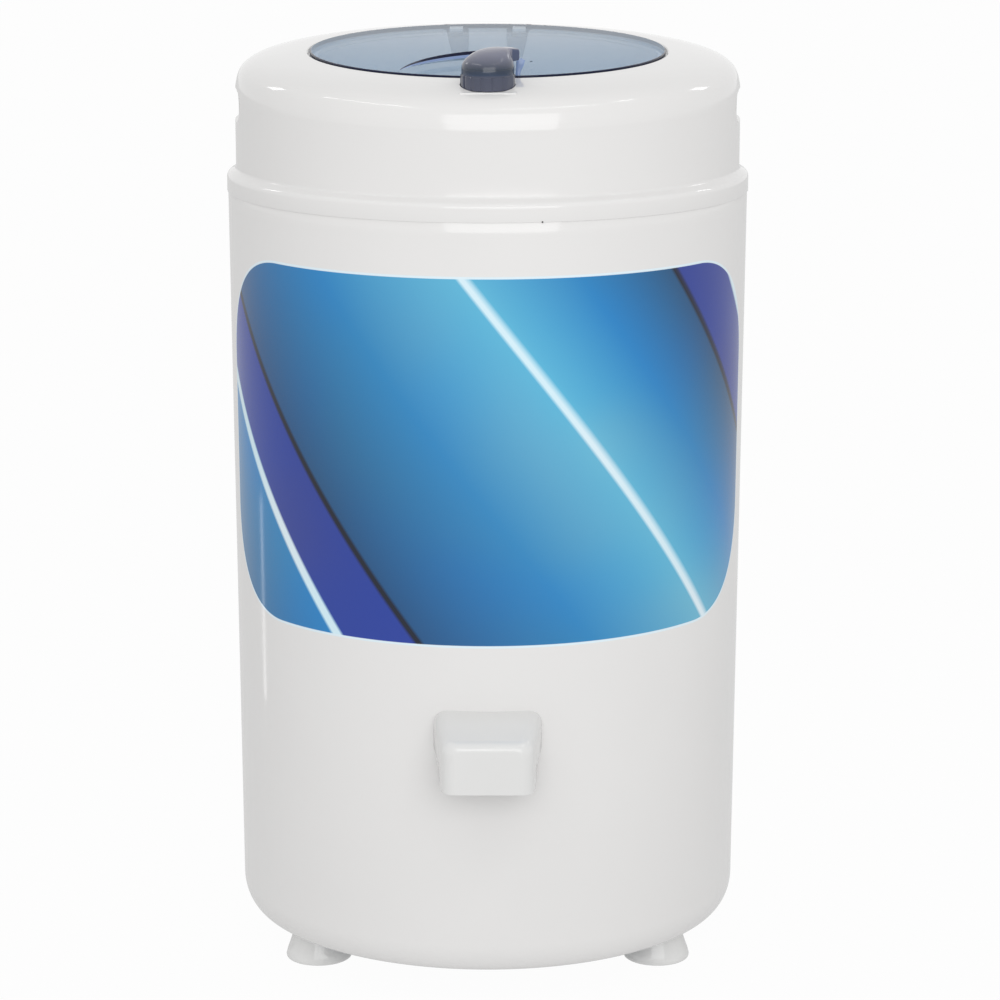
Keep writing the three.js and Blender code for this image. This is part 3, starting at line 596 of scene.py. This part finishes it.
# ---- cabinet ----
def casing():
    """The outer wall, with a window that follows the spout's outline."""
    def wall(z):
        return CASE_FOOT_R + (CASE_TOP_R - CASE_FOOT_R) * (z - CASE_ROUND_TOP) / (SEAM_Z - CASE_ROUND_TOP)

    lip, skin = CASE_LIP_R, CASE_SKIN
    lip_end = lip - 10
    wide, high = CASE_FOOT_R - lip, CASE_ROUND_TOP - CASE_BOTTOM
    levels = [90, 137, 180, 202, 224, *range(260, 501, 40), 530, 548]  # closer round the window
    top, collar_top = SEAM_Z - SEAM_GAP, 568
    profile = [
        (lip_end, CASE_BOTTOM), *arc(lip, CASE_ROUND_TOP, wide, high, -90, 0, 20),
        *[(wall(z), z) for z in levels], *arc(CASE_TOP_R - CRISP, top - CRISP, CRISP, CRISP, 0, 90, 2),
        (COLLAR_R, top), (COLLAR_R, collar_top), (COLLAR_R - skin, collar_top),
        *[(wall(z) - skin, z) for z in reversed(levels)],
        *arc(lip, CASE_ROUND_TOP, wide - skin, high - skin, 0, -90, 20), (lip_end, CASE_BOTTOM + skin),
    ]
    shell = turned("casing_shell", profile, SIDES)
    window = lofted("spout_window_cutter", [spout_ring(y, 0.3, 0.3) for y in (SPOUT_ROOT, -165)])
    combine(shell, [window], "DIFFERENCE")
    dress(shell, "cabinet", "printed", ["outer_casing"], 40)


def lean(obj):
    """The cover's upper part leans with the lid; the neck takes up the lean."""
    for vertex in obj.data.vertices:
        share = min(max((vertex.co.z / MM - LEAN_START) / LEAN_RISE, 0), 1)
        vertex.co.z += (vertex.co.y - AXIS_Y * MM) * math.tan(LID_TILT) * share


GRIP_LOW, GRIP_HIGH, GRIP_HALF, GRIP_CORNER = 610.5, 629.0, 42.0, 7.0


def grip_pocket(name, side, rings):
    """A solid through rings of (reach from the axis, growth, curved). A curved ring lies on a round wall."""
    points = []
    for reach, grow, curved in rings:
        half, corner = GRIP_HALF + grow, GRIP_CORNER + grow
        outline = rounded_rectangle(-half, half, GRIP_LOW - grow, GRIP_HIGH + grow, corner, 8)
        points.append([(side * (math.sqrt(reach**2 - y**2) if curved else reach), y, z) for y, z in outline])
    return lofted(f"{name}_{side}", points)


def grip_cutter(side):
    """The hollow of a hand grip, which widens to a soft mouth."""
    return grip_pocket("grip_cutter", side, [
        (166, -3, False), (166.4, -1.6, False), (167.6, -0.4, False), (169, 0, False), (178.4, 0, True),
        (179.5, 0.3, True), (180.3, 1.0, True), (181, 2.2, True), (195, 2.2, False),
    ])


def grip_back(side):
    """The wall round that hollow."""
    return grip_pocket("grip_back", side, [
        (163.5, 0.5, False), (164.5, 2, False), (166, 2.5, False), (179.2, 2.5, True),
    ])


def top_cover():
    """Skirt, ledge, leaning neck, shoulder, deck and the lid's rebate in one shell, then its inside."""
    shoulder = curve_through([
        (NECK_R, 622), (180.4, 629), (179.6, 636), (176.9, 643.6),
        (170.8, 648.9), (161, 652.3), (147, 654.6), (129.2, 656),
    ], 6)
    rebate, lip = LID_Z - LID_THICK - 0.3, 0.6
    profile = [
        (SKIRT_INSIDE, SEAM_Z), *arc(COVER_R - CRISP, SEAM_Z + CRISP, CRISP, CRISP, -90, 0, 2),
        *arc(COVER_R - 4, LEDGE_Z - 4, 4, 4, 0, 66, 6), *arc(NECK_R + 3, LEDGE_Z + 3.9, 3, 3, 240, 180, 5),
        *[(NECK_R, z) for z in (590, 600, 607, 614)], *shoulder,
        (REBATE_R, 655.4), (REBATE_R, rebate), (MOUTH_R + lip, rebate),
        *arc(MOUTH_R + lip, rebate - lip, lip, lip, 90, 180, 3)[1:],
        (MOUTH_R, 650.4), (146, 651), (163, 647.6), (173, 642), (177, 633),
        *[(NECK_INSIDE, z) for z in (617, 600, LEDGE_Z + 3.5)],
        (183.4, LEDGE_Z - 0.7), (SKIRT_INSIDE, LEDGE_Z - 2.1),
    ]
    shell = turned("cover_shell", profile, SIDES)
    lean(shell)
    combine(shell, [grip_back(side) for side in (-1, 1)], "UNION")
    seat = rod("knob_seat_cutter", KNOB_R + 0.4, KNOB_BASE - 0.3, 12, 0, KNOB_Y, 96, DECK_TO_ROW)
    combine(shell, [*[grip_cutter(side) for side in (-1, 1)], seat, *hinge_slots()], "DIFFERENCE")
    dress(shell, "cabinet", "white", ["top_cover"], 40)


def hinge_slots():
    """Cutters for the openings that the hinge brackets stand in."""
    half = 9.5
    spans = [(side * HINGE_X - half, side * HINGE_X + half) for side in (-1, 1)]
    return [block("hinge_slot_cutter", x0, x1, 117, 138.5, -26, 12, DECK_TO_ROW) for x0, x1 in spans]


def mouth_collar():
    """The wall under the deck round the mouth, notched for the lock cam's finger."""
    outside, flange, edge = MOUTH_R + 3, MOUTH_R + 6, 0.6
    low, flange_low, high = LEAN_START, 646.7, 650.1
    collar = turned("collar_ring", [
        (MOUTH_R, low + edge), (MOUTH_R + edge, low), (outside - edge, low), (outside, low + edge),
        (outside, 617), (outside, 634), (outside, flange_low), (flange, flange_low), (flange, high),
        (MOUTH_R, high), (MOUTH_R, 634), (MOUTH_R, 617),
    ], SIDES)
    lean(collar)
    notch = block("lock_notch_cutter", -6, 27, -126, -116, -70, -11.5, DECK_TO_ROW)
    combine(collar, [notch, *hinge_slots()], "DIFFERENCE")
    dress(collar, "cabinet", "white", ["mouth_collar"], 40)


def knob_pad():
    """The flat ledge that carries the knob on the rounded shoulder."""
    pad = block("knob_pad", -19.2, 19.2, -166, -148, -9.4, -5.15, DECK_TO_ROW)
    round_edges(pad, 0.7)
    dress(pad, "cabinet", "small_white")


def seam_pip():
    """A small dark pip in the skirt's lower edge, right of the middle."""
    angle = math.radians(11.3)
    out = Vector((math.sin(angle), -math.cos(angle), 0))
    place = TO_ROW @ Matrix.Translation(out * COVER_R + Vector((0, 0, SEAM_Z + 0.2)))
    place = place @ out.to_track_quat("Z", "Y").to_matrix().to_4x4()
    pip = rod("seam_pip", 0.6, -1.2, 0.1, sides=24, place=place)
    dress(pip, "cabinet", "black")


# ---- outlet spout: it narrows from the wall to a nozzle that reaches down ----
SPOUT_ROOT = -183  # y where it leaves the wall; its outline there follows
SPOUT_HALF, SPOUT_LOW, SPOUT_TOP, SPOUT_CORNER = 37.4, 185.3, 218.4, 9
SIDE_SLOPE, LOW_SLOPE, TOP_SLOPE = 0.185, 0.45, 0.33
NOZZLE_START, NOZZLE_RUN, NOZZLE_DEPTH = 16, 10, 14
SPOUT_STEPS = (SPOUT_ROOT, -199, -202, -205, -209)
SPOUT_SKIN = 2.2


def spout_ring(y, side_inset, inset, drop=0):
    """The chute's outline at y from the axis. Insets round off its front, and drop lowers its lower edge."""
    reach = max(SPOUT_ROOT - y, 0)
    half = SPOUT_HALF - SIDE_SLOPE * reach - side_inset
    top = SPOUT_TOP - TOP_SLOPE * reach - inset
    nozzle = min(max((reach - NOZZLE_START) / NOZZLE_RUN, 0), 1)
    low = SPOUT_LOW - LOW_SLOPE * reach + inset - drop - NOZZLE_DEPTH * nozzle
    return [(x, y, z) for x, z in rounded_rectangle(-half, half, low, top, max(SPOUT_CORNER - inset, 3), 8)]


def spout_rings(front, skin, edge, drop, start):
    """Rings from the start to the front, which is rounded more at its sides than along its top."""
    side_edge, top_edge = edge
    rings = [spout_ring(y, skin, skin, drop) for y in start]
    for degrees in range(0, 91, 10):
        angle = math.radians(degrees)
        away = 1 - math.cos(angle)
        y = -front + side_edge * (1 - math.sin(angle))
        rings.append(spout_ring(y, skin + side_edge * away, skin + top_edge * away**1.5, drop))
    return rings


def outlet_spout():
    """The chute, hollowed, opened downwards and cut level, and the plate that holds it."""
    skin, inner_front, inner_edge = SPOUT_SKIN, SPOUT_FRONT - SPOUT_SKIN, (6, 2.5)
    body = lofted("spout_chute", spout_rings(SPOUT_FRONT, 0, (8, 4.5), 0, (-176, *SPOUT_STEPS)))
    inside = lofted("spout_inside", spout_rings(inner_front, skin, inner_edge, 0, (-168, *SPOUT_STEPS)))
    opening = lofted("spout_opening", spout_rings(inner_front, skin, inner_edge, 25, (-186, -200)))
    below = block("spout_below", -60, 60, -240, -150, 100, 170.4)
    combine(body, [inside, opening, below], "DIFFERENCE")
    spout_flange()
    dress(body, "cabinet", "small_white", ["outlet_spout"], 40)


def spout_flange():
    """The curved plate behind the wall that holds the spout."""
    plate = turned("spout_flange", [(177.2, 176), (179.8, 176), (179.8, 228), (177.2, 228)], SIDES)
    front = lofted("flange_outline", [
        [(x, y, z) for x, z in rounded_rectangle(-46, 46, 176.2, 227.8, 5, 6)] for y in (-190, -160)
    ])
    combine(plate, [front], "INTERSECT")
    hole = lofted("flange_hole", [spout_ring(y, SPOUT_SKIN, SPOUT_SKIN) for y in (SPOUT_ROOT, -160)])
    combine(plate, [hole], "DIFFERENCE")
    dress(plate, "cabinet", "small_white")


# ---- feet ----
def feet():
    """Three flared feet, each with a screw in a recess under it."""
    recess, widest, top = 7, (24, 2.6), 28
    rim = curve_through([(22.6, 0.2), (23.6, 1), widest], 4)
    side = curve_through([widest, (23, 6.5), (21.4, 11), (19.8, 16), (17.8, 22), (16.2, top)], 5)
    profile = [(0, recess), (9, recess), (9, 0.6), (9.6, 0), (21.4, 0), *rim, *side[1:], (0, top)]
    for i, degrees in enumerate(THIRDS):
        x, y = on_circle(FOOT_CIRCLE, degrees)
        foot = turned(f"rubber_foot_{i + 1}", profile, 72, TO_ROW, (x, y))
        dress(foot, "cabinet", "small_white", [f"foot_{i + 1}"])
        screw_head(f"foot_screw_{i + 1}", x, y, recess, 5.2)


def screw_head(name, x, y, z, r):
    """A screw seen from below: a low dome with a cross recess."""
    tip = z - 2.4
    dome = [(0, tip), (r * 0.4, z - 2.3), (r * 0.8, z - 1.7), (r, z - 0.6), (r, z), (0, z)]
    head = turned(name, dome, 32, TO_ROW, (x, y))
    move = Matrix.Translation((x * MM, y * MM, tip * MM))
    half_long, half_wide, deep = r * 0.6, r * 0.13, 1.6
    arms = []
    for turn in (0, math.pi / 2):
        arm = block(f"{name}_arm", -half_long, half_long, -half_wide, half_wide, -deep, deep)
        arm.data.transform(move @ TO_ROW @ Matrix.Rotation(turn, 4, "Z") @ TO_ROW.inverted())
        arms.append(arm)
    combine(head, arms, "DIFFERENCE")
    dress(head, "cabinet", "zinc")


# ---- lid ----
DECK_FROM_ROW = DECK_TO_ROW.inverted()


def lid_panel():
    """A clear disc with a rounded edge, which carries a dark painted shade all round."""
    r, t, bevel, round_r = LID_R, LID_THICK, 0.5, 0.8
    edge = arc(r - round_r, -round_r, round_r, round_r, 0, 90, 4)
    panel = turned("lid_panel", [(0, -t), (r - bevel, -t), (r, -t + bevel), *edge, (0, 0)], 192, DECK_TO_ROW)
    dress(panel, "lid", "lid", ["lid"], 30)
    # The edge's dark material is painted shade.
    second_look(panel, "lid_painted_shade_and_dot", [
        face for face in panel.data.polygons if (DECK_FROM_ROW @ face.center).xy.length > r - 0.75
    ])


def lid_arms():
    """The lid's two knuckles on the pins, and the root that holds its catch."""
    lay = Matrix.Translation((0, HINGE_Y, HINGE_Z)) @ Matrix.Rotation(math.pi / 2, 4, "Y")
    lay = DECK_TO_ROW @ lay
    half, r = 4.9, 2.9
    for name, side in (("left", -1), ("right", 1)):
        x0, x1 = side * HINGE_X - half, side * HINGE_X + half
        knuckle = rod(f"lid_knuckle_{name}", r, x0, x1, sides=40, place=lay)
        arm = block(f"lid_arm_{name}", x0, x1, 120, HINGE_Y, HINGE_Z - 1.6, -1.6, DECK_TO_ROW)
        combine(knuckle, [arm], "UNION")
        dress(knuckle, "lid", "pale")
    root = block("lid_catch_root", -14, 16, -118.6, -113, -12, -2.8, DECK_TO_ROW)
    round_edges(root, 0.6)
    dress(root, "lid", "lid")


def lid_tab():
    """The small lifting tab beside the knob."""
    sections = [
        ((18.9, 21.6), (-124, -119), -1), ((18.9, 22.6), (-123.4, -119.6), 3),
        ((19.2, 24.6), (-123, -120.2), 7), ((19.4, 25.4), (-123, -121), 10.2),
        ((19.6, 22.6), (-122.8, -121.2), 11.6),
    ]
    rings = [[(x, y, z) for x, y in rounded_rectangle(*xs, *ys, 0.8, 3)] for xs, ys, z in sections]
    tab = lofted("lid_tab", rings, DECK_TO_ROW)
    dress(tab, "lid", "lid_lilac")


def lid_rib():
    """A curved rib on the lid, beside the knob, that rises from a thin end: dark with painted shade, and with
    a pale inner side that is a painted reflection.
    """
    centre, radius, start, end, steps = Vector((36, -124, 0)), 99.2, 166, 106, 48
    # The section's points, as shares of its width outwards and of its height
    section = [(0.35, -0.02), (0.2, 0.8), (0.0, 1.0), (-0.14, 0.9)]
    section += [(-0.2, 0.4), (-0.34, 0.06), (-0.8, 0.03), (-0.84, -0.02)]
    rows = []
    for i in range(steps + 1):
        share = i / steps
        angle = math.radians(start + (end - start) * share)
        swell = math.sin(math.pi * min(share * 0.56, 0.5)) ** 0.8
        height = 0.15 + 3.6 * swell
        width = 0.6 + 3.4 * swell
        out = Vector((math.cos(angle), math.sin(angle), 0))
        base = centre + out * radius
        rows.append([tuple(base + out * (width * w) + Vector((0, 0, height * h))) for w, h in section])
    rib = lofted("lid_rib", rows, DECK_TO_ROW)
    # Its dark material is painted shade.
    dress(rib, "lid", "lid_painted_shade_and_dot", angle=60)
    # After its two end faces come the sides, eight to a step, of which the last four are the inner ones
    # The pale inner side is a painted reflection.
    second_look(rib, "lid_lilac", [face for i, face in enumerate(rib.data.polygons[2:]) if i % 8 >= 4])


def lid_dot():
    """A small dark dot on the lid."""
    profile = [(0, 0.25), (0.6, 0.22), (1.0, 0.0), (1.0, -0.3), (0, -0.3)]
    dot = turned("lid_dot", profile, 24, DECK_TO_ROW, (30.3, -60.1))
    dress(dot, "lid", "lid_painted_shade_and_dot")


# ---- knob ----
def knob_cap():
    """The dome that leans into a squared beak, as one smooth body; the beak's far part carries painted shade.
    """
    cos, sin, sides = math.cos(BEAK_ANGLE), math.sin(BEAK_ANGLE), 64
    # Rings of the dome: height, radius and shift towards the beak
    dome = curve_through([
        (4.2, 17.9, 0), (8.7, 18, 0.2), (12.9, 16.9, 0.5), (16.8, 14.2, 2.1),
        (19.7, 11.0, 4.5), (21.2, 7.4, 6.8), (21.8, 3.6, 8.2), (21.95, 0.6, 9),
    ], 4)
    rings = []
    for height, radius, shift in dome:
        ring = []
        for i in range(sides):
            angle = 2 * math.pi * i / sides
            x = radius * math.cos(angle) + shift * cos
            y = radius * math.sin(angle) + shift * sin
            ring.append((x, KNOB_Y + y, height))
        rings.append(ring)
    cap = lofted("knob_cap", rings, DECK_TO_ROW)
    sections = []
    for reach, half, low, high in (
        (4, 6, 11.2, 20.4), (10, 6.1, 11.4, 21.3), (16, 5.7, 11.8, 21.2), (22.4, 4.9, 12.4, 20.2),
    ):
        outline = rounded_rectangle(-half, half, low, high, 1.5, 5)
        sections.append([
            (cos * reach - sin * side, KNOB_Y + sin * reach + cos * side, z) for side, z in outline
        ])
    combine(cap, [lofted("knob_beak", sections, DECK_TO_ROW)], "UNION")
    fine = cap.modifiers.new("Fine", "REMESH")
    fine.mode = "VOXEL"
    fine.voxel_size = 0.35 * MM
    ease = cap.modifiers.new("Ease", "SMOOTH")
    ease.iterations = 5
    ease.factor = 0.5
    settle(cap)
    dress(cap, "knob", "knob", ["knob", "knob_pointer"], 60)
    # The beak's far faces that don't face upwards get a darker material: painted shade.
    tip, flat_top = [], 0.55
    for face in cap.data.polygons:
        centre = DECK_FROM_ROW @ face.center
        reach = centre.x * cos + (centre.y - KNOB_Y) * sin
        if reach > 16 and face.normal.z < flat_top:
            tip.append(face)
    second_look(cap, "knob_tip_painted_shade", tip)


def knob_skirt():
    """The fluted ring round the knob's foot."""
    flutes, rings = 15, []
    flute = ((0.08, 0), (0.34, 0), (0.6, 0), (0.66, 0.55), (0.84, 0.55), (0.98, 0.1))  # share of turn, dip
    top = KNOB_BASE + 9.4
    for z, shrink in ((KNOB_BASE, 0.4), (KNOB_BASE + 0.4, 0), (top - 0.5, 0), (top, 0.5)):
        ring = []
        for i in range(flutes):
            for share, dip in flute:
                angle = (i + share) * 2 * math.pi / flutes
                r = KNOB_R - dip - shrink
                ring.append((r * math.cos(angle), KNOB_Y + r * math.sin(angle), z))
        rings.append(ring)
    skirt = lofted("knob_skirt", rings, DECK_TO_ROW)
    inside = [(0, -7), (15.6, -7), (15.6, 2), (14, 5.5), (0, 5.5)]
    combine(skirt, [turned("knob_hollow", inside, 48, DECK_TO_ROW, (0, KNOB_Y))], "DIFFERENCE")
    dress(skirt, "knob", "knob", angle=20)


def knob_core():
    """The dark socket on the shaft, which shows through the cap."""
    profile = [(0, -3), (7.5, -3), (8.2, 0), (9, 4), (0, 4.1)]
    core = turned("knob_core", profile, 48, DECK_TO_ROW, (0, KNOB_Y))
    dress(core, "knob", "knob_core")


# ---- tub, drum and their seals ----
def tub_parts():
    """The tub with its drain hole, the gasket on its flange and the cone-shaped ring over it."""
    inside, flange, flange_low, flange_top = 158, 183.2, 568.3, 570.8
    tub = turned("tub_shell", [
        (40, 228), (148, 223), *arc(TUB_R - 10, 233, 10, 10, -80, 0, 6),
        (TUB_R, flange_low), (flange, flange_low), (flange, flange_top), (inside, flange_top),
        *arc(inside - 8, 234, 8, 8, 0, -80, 6), (43, 231.2), (43, 246), (40, 246),
    ], TUB_SIDES)
    drain = rod("tub_drain_cutter", 6.8, 210, 240, 0, DRAIN_Y, 32)
    combine(tub, [drain], "DIFFERENCE")
    dress(tub, "cabinet", "pale", ["tub"])
    seal = turned("tub_gasket", [
        (158.6, 571.1), (163.4, 571.1), (163.4, 573.0), (162.5, 573.9), (159.5, 573.9), (158.6, 573.0),
    ], TUB_SIDES)
    dress(seal, "cabinet", "rubber", ["tub_seal"])
    outer = curve_through([(161.4, 577.8), (150, 585.6), (139, 594.2), (131, 602), (128.8, 606)], 4)
    inner = curve_through([(126.2, 605), (128.6, 600.6), (136.6, 592.4), (148, 583), (158.2, 575.4)], 4)
    ring = turned("tub_cover_ring", [
        (158.2, 574.2), (164, 574.2), (164, 577), *outer,
        (128.8, 609.4), (128.2, 610), (126.8, 610), (126.2, 609.4), *inner,
    ], TUB_SIDES)
    dress(ring, "cabinet", "pale", ["tub_cover"])


def drum_wall():
    """The perforated stainless wall: staggered rows of small holes, each in a tile of eight faces."""
    columns, hole_r, pitch, low, high = 48, 2.3, 17, DRUM_FLOOR + 6.8, 577.0
    rows = round((high - low) / pitch)
    tile = (high - low) / rows
    width = 2 * math.pi / columns
    points, faces, known = [], [], {}

    def vertex(angle, z):
        """The number of the vertex there, which neighbouring tiles share."""
        key = (round(angle / width * 1000) % (columns * 1000), round(z * 100))
        if key not in known:
            known[key] = len(points)
            points.append((DRUM_R * math.cos(angle), DRUM_R * math.sin(angle), z))
        return known[key]

    for row in range(rows):
        z0 = low + row * tile
        for column in range(columns):
            middle = (column + (row % 2) / 2) * width
            frame_points, hole_points = [], []
            for k in range(8):
                turn = math.radians(45 * k)
                cos, sin = math.cos(turn), math.sin(turn)
                # -1, 0 or 1, for the corners of the tile and the middles of its edges
                side_x, side_z = round(cos * 1.2), round(sin * 1.2)
                frame_points.append(vertex(middle + side_x * width / 2, z0 + tile / 2 + side_z * tile / 2))
                hole_points.append(vertex(middle + hole_r * cos / DRUM_R, z0 + tile / 2 + hole_r * sin))
            for k in range(8):
                j = (k + 1) % 8
                faces.append([hole_points[k], frame_points[k], frame_points[j], hole_points[j]])
    for z0, z1 in ((DRUM_FLOOR + 2.8, low), (high, DRUM_TOP)):
        for column in range(columns * 2):
            a, b = column * width / 2, (column + 1) * width / 2
            faces.append([vertex(a, z0), vertex(b, z0), vertex(b, z1), vertex(a, z1)])
    wall = mesh_piece("drum_basket", points, faces)
    thicken(wall, 1.5)
    dress(wall, "spin_drum", "stainless", ["drum_wall"], 50)


def drum_parts():
    """The drum's floor with its hub, the balance rim and the slotted nut on the shaft."""
    bore, hub_low, hub_top, inside = 7.3, 250.3, 291.8, 122.9
    hub = curve_through([(100, 262.3), (60, 262.6), (42, 263.6), (32, 269), (25, 282), (22, hub_top)], 5)
    floor = turned("drum_base", [
        (bore, hub_low), (24, hub_low), (28, DRUM_FLOOR), (121, DRUM_FLOOR),
        (inside, DRUM_FLOOR + 2.4), (inside, DRUM_FLOOR + 6), *hub, (bore, hub_top),
    ])
    dress(floor, "spin_drum", "grey", ["drum_floor"])
    rim_low, edge = 578, DRUM_TOP + 0.3
    throat = curve_through([(112, 593), (107, 592), (104.2, 588.6), (104.4, 583), (106, rim_low)], 4)
    rim = turned("drum_balance_ring", [
        (106, rim_low), (inside, rim_low), (inside, edge), (126.4, edge),
        *arc(124.9, 591.5, 1.5, 1.5, 0, 90, 4), *throat[:-1],
    ], TUB_SIDES)
    dress(rim, "spin_drum", "grey", ["drum_rim"])
    nut = turned("drum_hub_nut", [
        (0, 296.4), (bore, 296.4), (bore, 292.2), (14, 292.2), (14, 300), (12.5, 303.4), (8, 306), (0, 307),
    ], 48)
    slot = block("nut_slot_cutter", -10, 10, -1.6, 1.6, 303.6, 312)
    combine(nut, [slot], "DIFFERENCE")
    dress(nut, "spin_drum", "grey", ["drum_nut"])


# ---- rubber and wire ----
def bellows():
    """The folded rubber boot, which widens from the motor's shield to the tub."""
    r, low, folds = 29, 220, 12
    side = [(r, 213), (r, low)]
    for i in range(1, folds + 1):
        fold = 2.4 * math.sin(i * math.pi / 2)
        side.append((r + 10.4 * i / folds + fold, low + 17 * i / folds))
    side.append((39.8, 245))
    inner = [(r - 2.0, z) for r, z in reversed(side)]
    piece = turned("shaft_boot", curve_through(side, 4) + curve_through(inner, 4), 64)
    give_look(piece, "rubber")
    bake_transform(piece)
    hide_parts("shaft_bellows")


def springs():
    """Three coils between their seats and the motor's platform."""
    wire, coil_r, curls = 1.8, 11.5, 3
    low, high, steps = 34.7 + wire, 83.7 - wire, 40 * curls
    for i, degrees in enumerate(THIRDS):
        x, y = on_circle(SPRING_CIRCLE, degrees)
        path = []
        for k in range(steps + 1):
            share = k / steps
            turn = 2 * math.pi * curls * share
            rise = low + (high - low) * share
            path.append((x + coil_r * math.cos(turn), y + coil_r * math.sin(turn), rise))
        spring = swept(f"coil_spring_{i + 1}", path, wire, 20)
        give_look(spring, "zinc")
        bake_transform(spring)
        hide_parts(f"suspension_spring_{i + 1}")


def hose_and_cable():
    """The elbow from the tub's drain into the spout, and the brake's cable from the knob to the lever."""
    bend, top, end_z = 20, 222, 202
    turns = [math.radians(degrees) for degrees in range(0, 91, 6)]
    elbow = [(0, DRAIN_Y - bend * (1 - math.cos(a)), top - bend * math.sin(a)) for a in turns]
    hose = swept("drain_hose", [(0, DRAIN_Y, 223), *elbow, (0, -185, end_z)], 13, 32)
    bore = swept("drain_bore", [(0, DRAIN_Y, 226), *elbow, (0, -189, end_z)], 10.6, 32)
    combine(hose, [bore], "DIFFERENCE")
    dress(hose, "cabinet", "rubber", ["drain_elbow"])
    drop = (-52, -162)
    route = [
        (-30, -157, 617), (-38, -158.5, 616), (-46, -160.5, 610), (-51, -162, 598),
        *[(*drop, z) for z in (580, 420, 240, 130)], (-52.3, -160, 100), (-53, -150, 80),
        (-54, -130, 69), (-54, -106, 66.5), (-54, -84, 66.5),
    ]
    cable = swept("brake_cable_sheath", curve_through(route, 8), 2.5, 16)
    dress(cable, "cabinet", "black", ["brake_cable"])


# ---- stage ----
CAMERA_PLACE = (0.0, -2.4686, 0.88252)
CAMERA_TILT = 77.406
CAMERA_LENS = 124.86
CAMERA_SHIFT_X = 0.0123
AIM_Z = 0.35  # height on the axis that the softboxes face
AMBIENT = 0.4
FLOOR_WHITE = 0.97  # how far the floor shows as white; the rest keeps the shadow
LEAST_WHITE = 0.5  # the share of white in world and floor for all other rays, which lights the part
# Name, azimuth (0 on the camera's side, 90 on the right), distance, height, size, power
SOFTBOXES = [
    ("front_panel", 6, 2.6, 1.15, (2.4, 1.4), 22.5),
    ("left_window", -67, 1.5, 2.4, (1.9, 0.05), 3),
    ("right_window", 31, 1.5, 2.4, (1.8, 0.05), 2.8),
    ("right_rear_window", 83, 1.5, 2.4, (0.4, 0.1), 0.7),
    ("left_rear_lamp", -122, 1.6, 1.5, (0.16, 0.3), 0.9),
    ("right_rear_lamp", 122, 1.6, 1.5, (0.16, 0.3), 0.9),
]


def make_camera():
    camera = add_object("camera", bpy.data.cameras.new("camera"))
    camera.location = CAMERA_PLACE
    camera.rotation_euler = (math.radians(CAMERA_TILT), 0, 0)
    camera.data.sensor_width = 36
    camera.data.lens = CAMERA_LENS
    camera.data.shift_x = CAMERA_SHIFT_X
    camera.data.clip_start = 0.05
    camera.data.clip_end = 60
    bpy.context.scene.camera = camera


def area_lamp(name, place, aim, size, power):
    """A rectangular lamp that the camera doesn't see."""
    lamp = add_object(name, bpy.data.lights.new(name, "AREA"))
    lamp.location = place
    lamp.rotation_euler = aim.to_track_quat("-Z", "Y").to_euler()
    lamp.visible_camera = False
    lamp.data.shape = "RECTANGLE"
    lamp.data.size, lamp.data.size_y = size
    lamp.data.energy = power


def softbox(name, azimuth, distance, height, size, power):
    turn = math.radians(azimuth)
    place = Vector((distance * math.sin(turn), -distance * math.cos(turn), height))
    area_lamp(name, place, Vector((0, AXIS_Y * MM, AIM_Z)) - place, size, power)


def strip(name, place, width, heights, radiance):
    """A narrow upright lamp close to the object, which draws a streak of that radiance on its gloss."""
    low, high = heights
    aim = Vector((-place[0], AXIS_Y * MM - place[1], 0))
    power = radiance * math.pi * width * (high - low)
    area_lamp(name, (*place, (low + high) / 2), aim, (width, high - low), power)


def seen_white(nodes, kind, shader, strengths, target):
    """Mixes white into a shader: by a strength for each kind of ray that shows it, else by LEAST_WHITE."""
    path, share = nodes.node("ShaderNodeLightPath"), LEAST_WHITE
    for ray, strength in zip(("Is Camera Ray", "Is Glossy Ray", "Is Transmission Ray"), strengths):
        share = nodes.math("MAXIMUM", nodes.math("MULTIPLY", path.outputs[ray], strength), share)
    white = nodes.node(kind, (1, 1, 1, 1), 1)
    nodes.mixed_shader(share, shader.outputs[0], white.outputs[0], target)


def make_world():
    world = bpy.data.worlds.new("studio")
    bpy.context.scene.world = world
    world.use_nodes = True
    nodes = world.node_tree.nodes
    sky = nodes["Background"]
    sky.inputs["Color"].default_value = (1, 1, 1, 1)
    sky.inputs["Strength"].default_value = AMBIENT
    output = nodes["World Output"].inputs["Surface"]
    seen_white(Nodes(world.node_tree), "ShaderNodeBackground", sky, (1, 1, 1), output)


def make_floor():
    finish = Finish("floor", linear(184, 184, 184), 0.7)
    finish.vary_roughness(3, 0.6, 0.8)
    strengths = (FLOOR_WHITE, LEAST_WHITE, FLOOR_WHITE)
    seen_white(finish, "ShaderNodeEmission", finish.shader, strengths, finish.output)
    floor = turned("studio_floor", [(0, 0), (30000, 0)])
    floor.data.materials.append(finish.material)


# ---- assembly ----
bpy.context.scene.view_settings.view_transform = "Standard"
make_camera()
make_world()
make_floor()
for row in SOFTBOXES:
    softbox(*row)
strip("left_low_strip", (-0.7, 0.3), 0.03, (0.01, 0.2), 1.6)
dress_frame()
casing()
top_cover()
mouth_collar()
knob_pad()
seam_pip()
outlet_spout()
feet()
lid_panel()
lid_arms()
lid_tab()
lid_rib()
lid_dot()
knob_cap()
knob_skirt()
knob_core()
tub_parts()
drum_wall()
drum_parts()
bellows()
springs()
hose_and_cable()
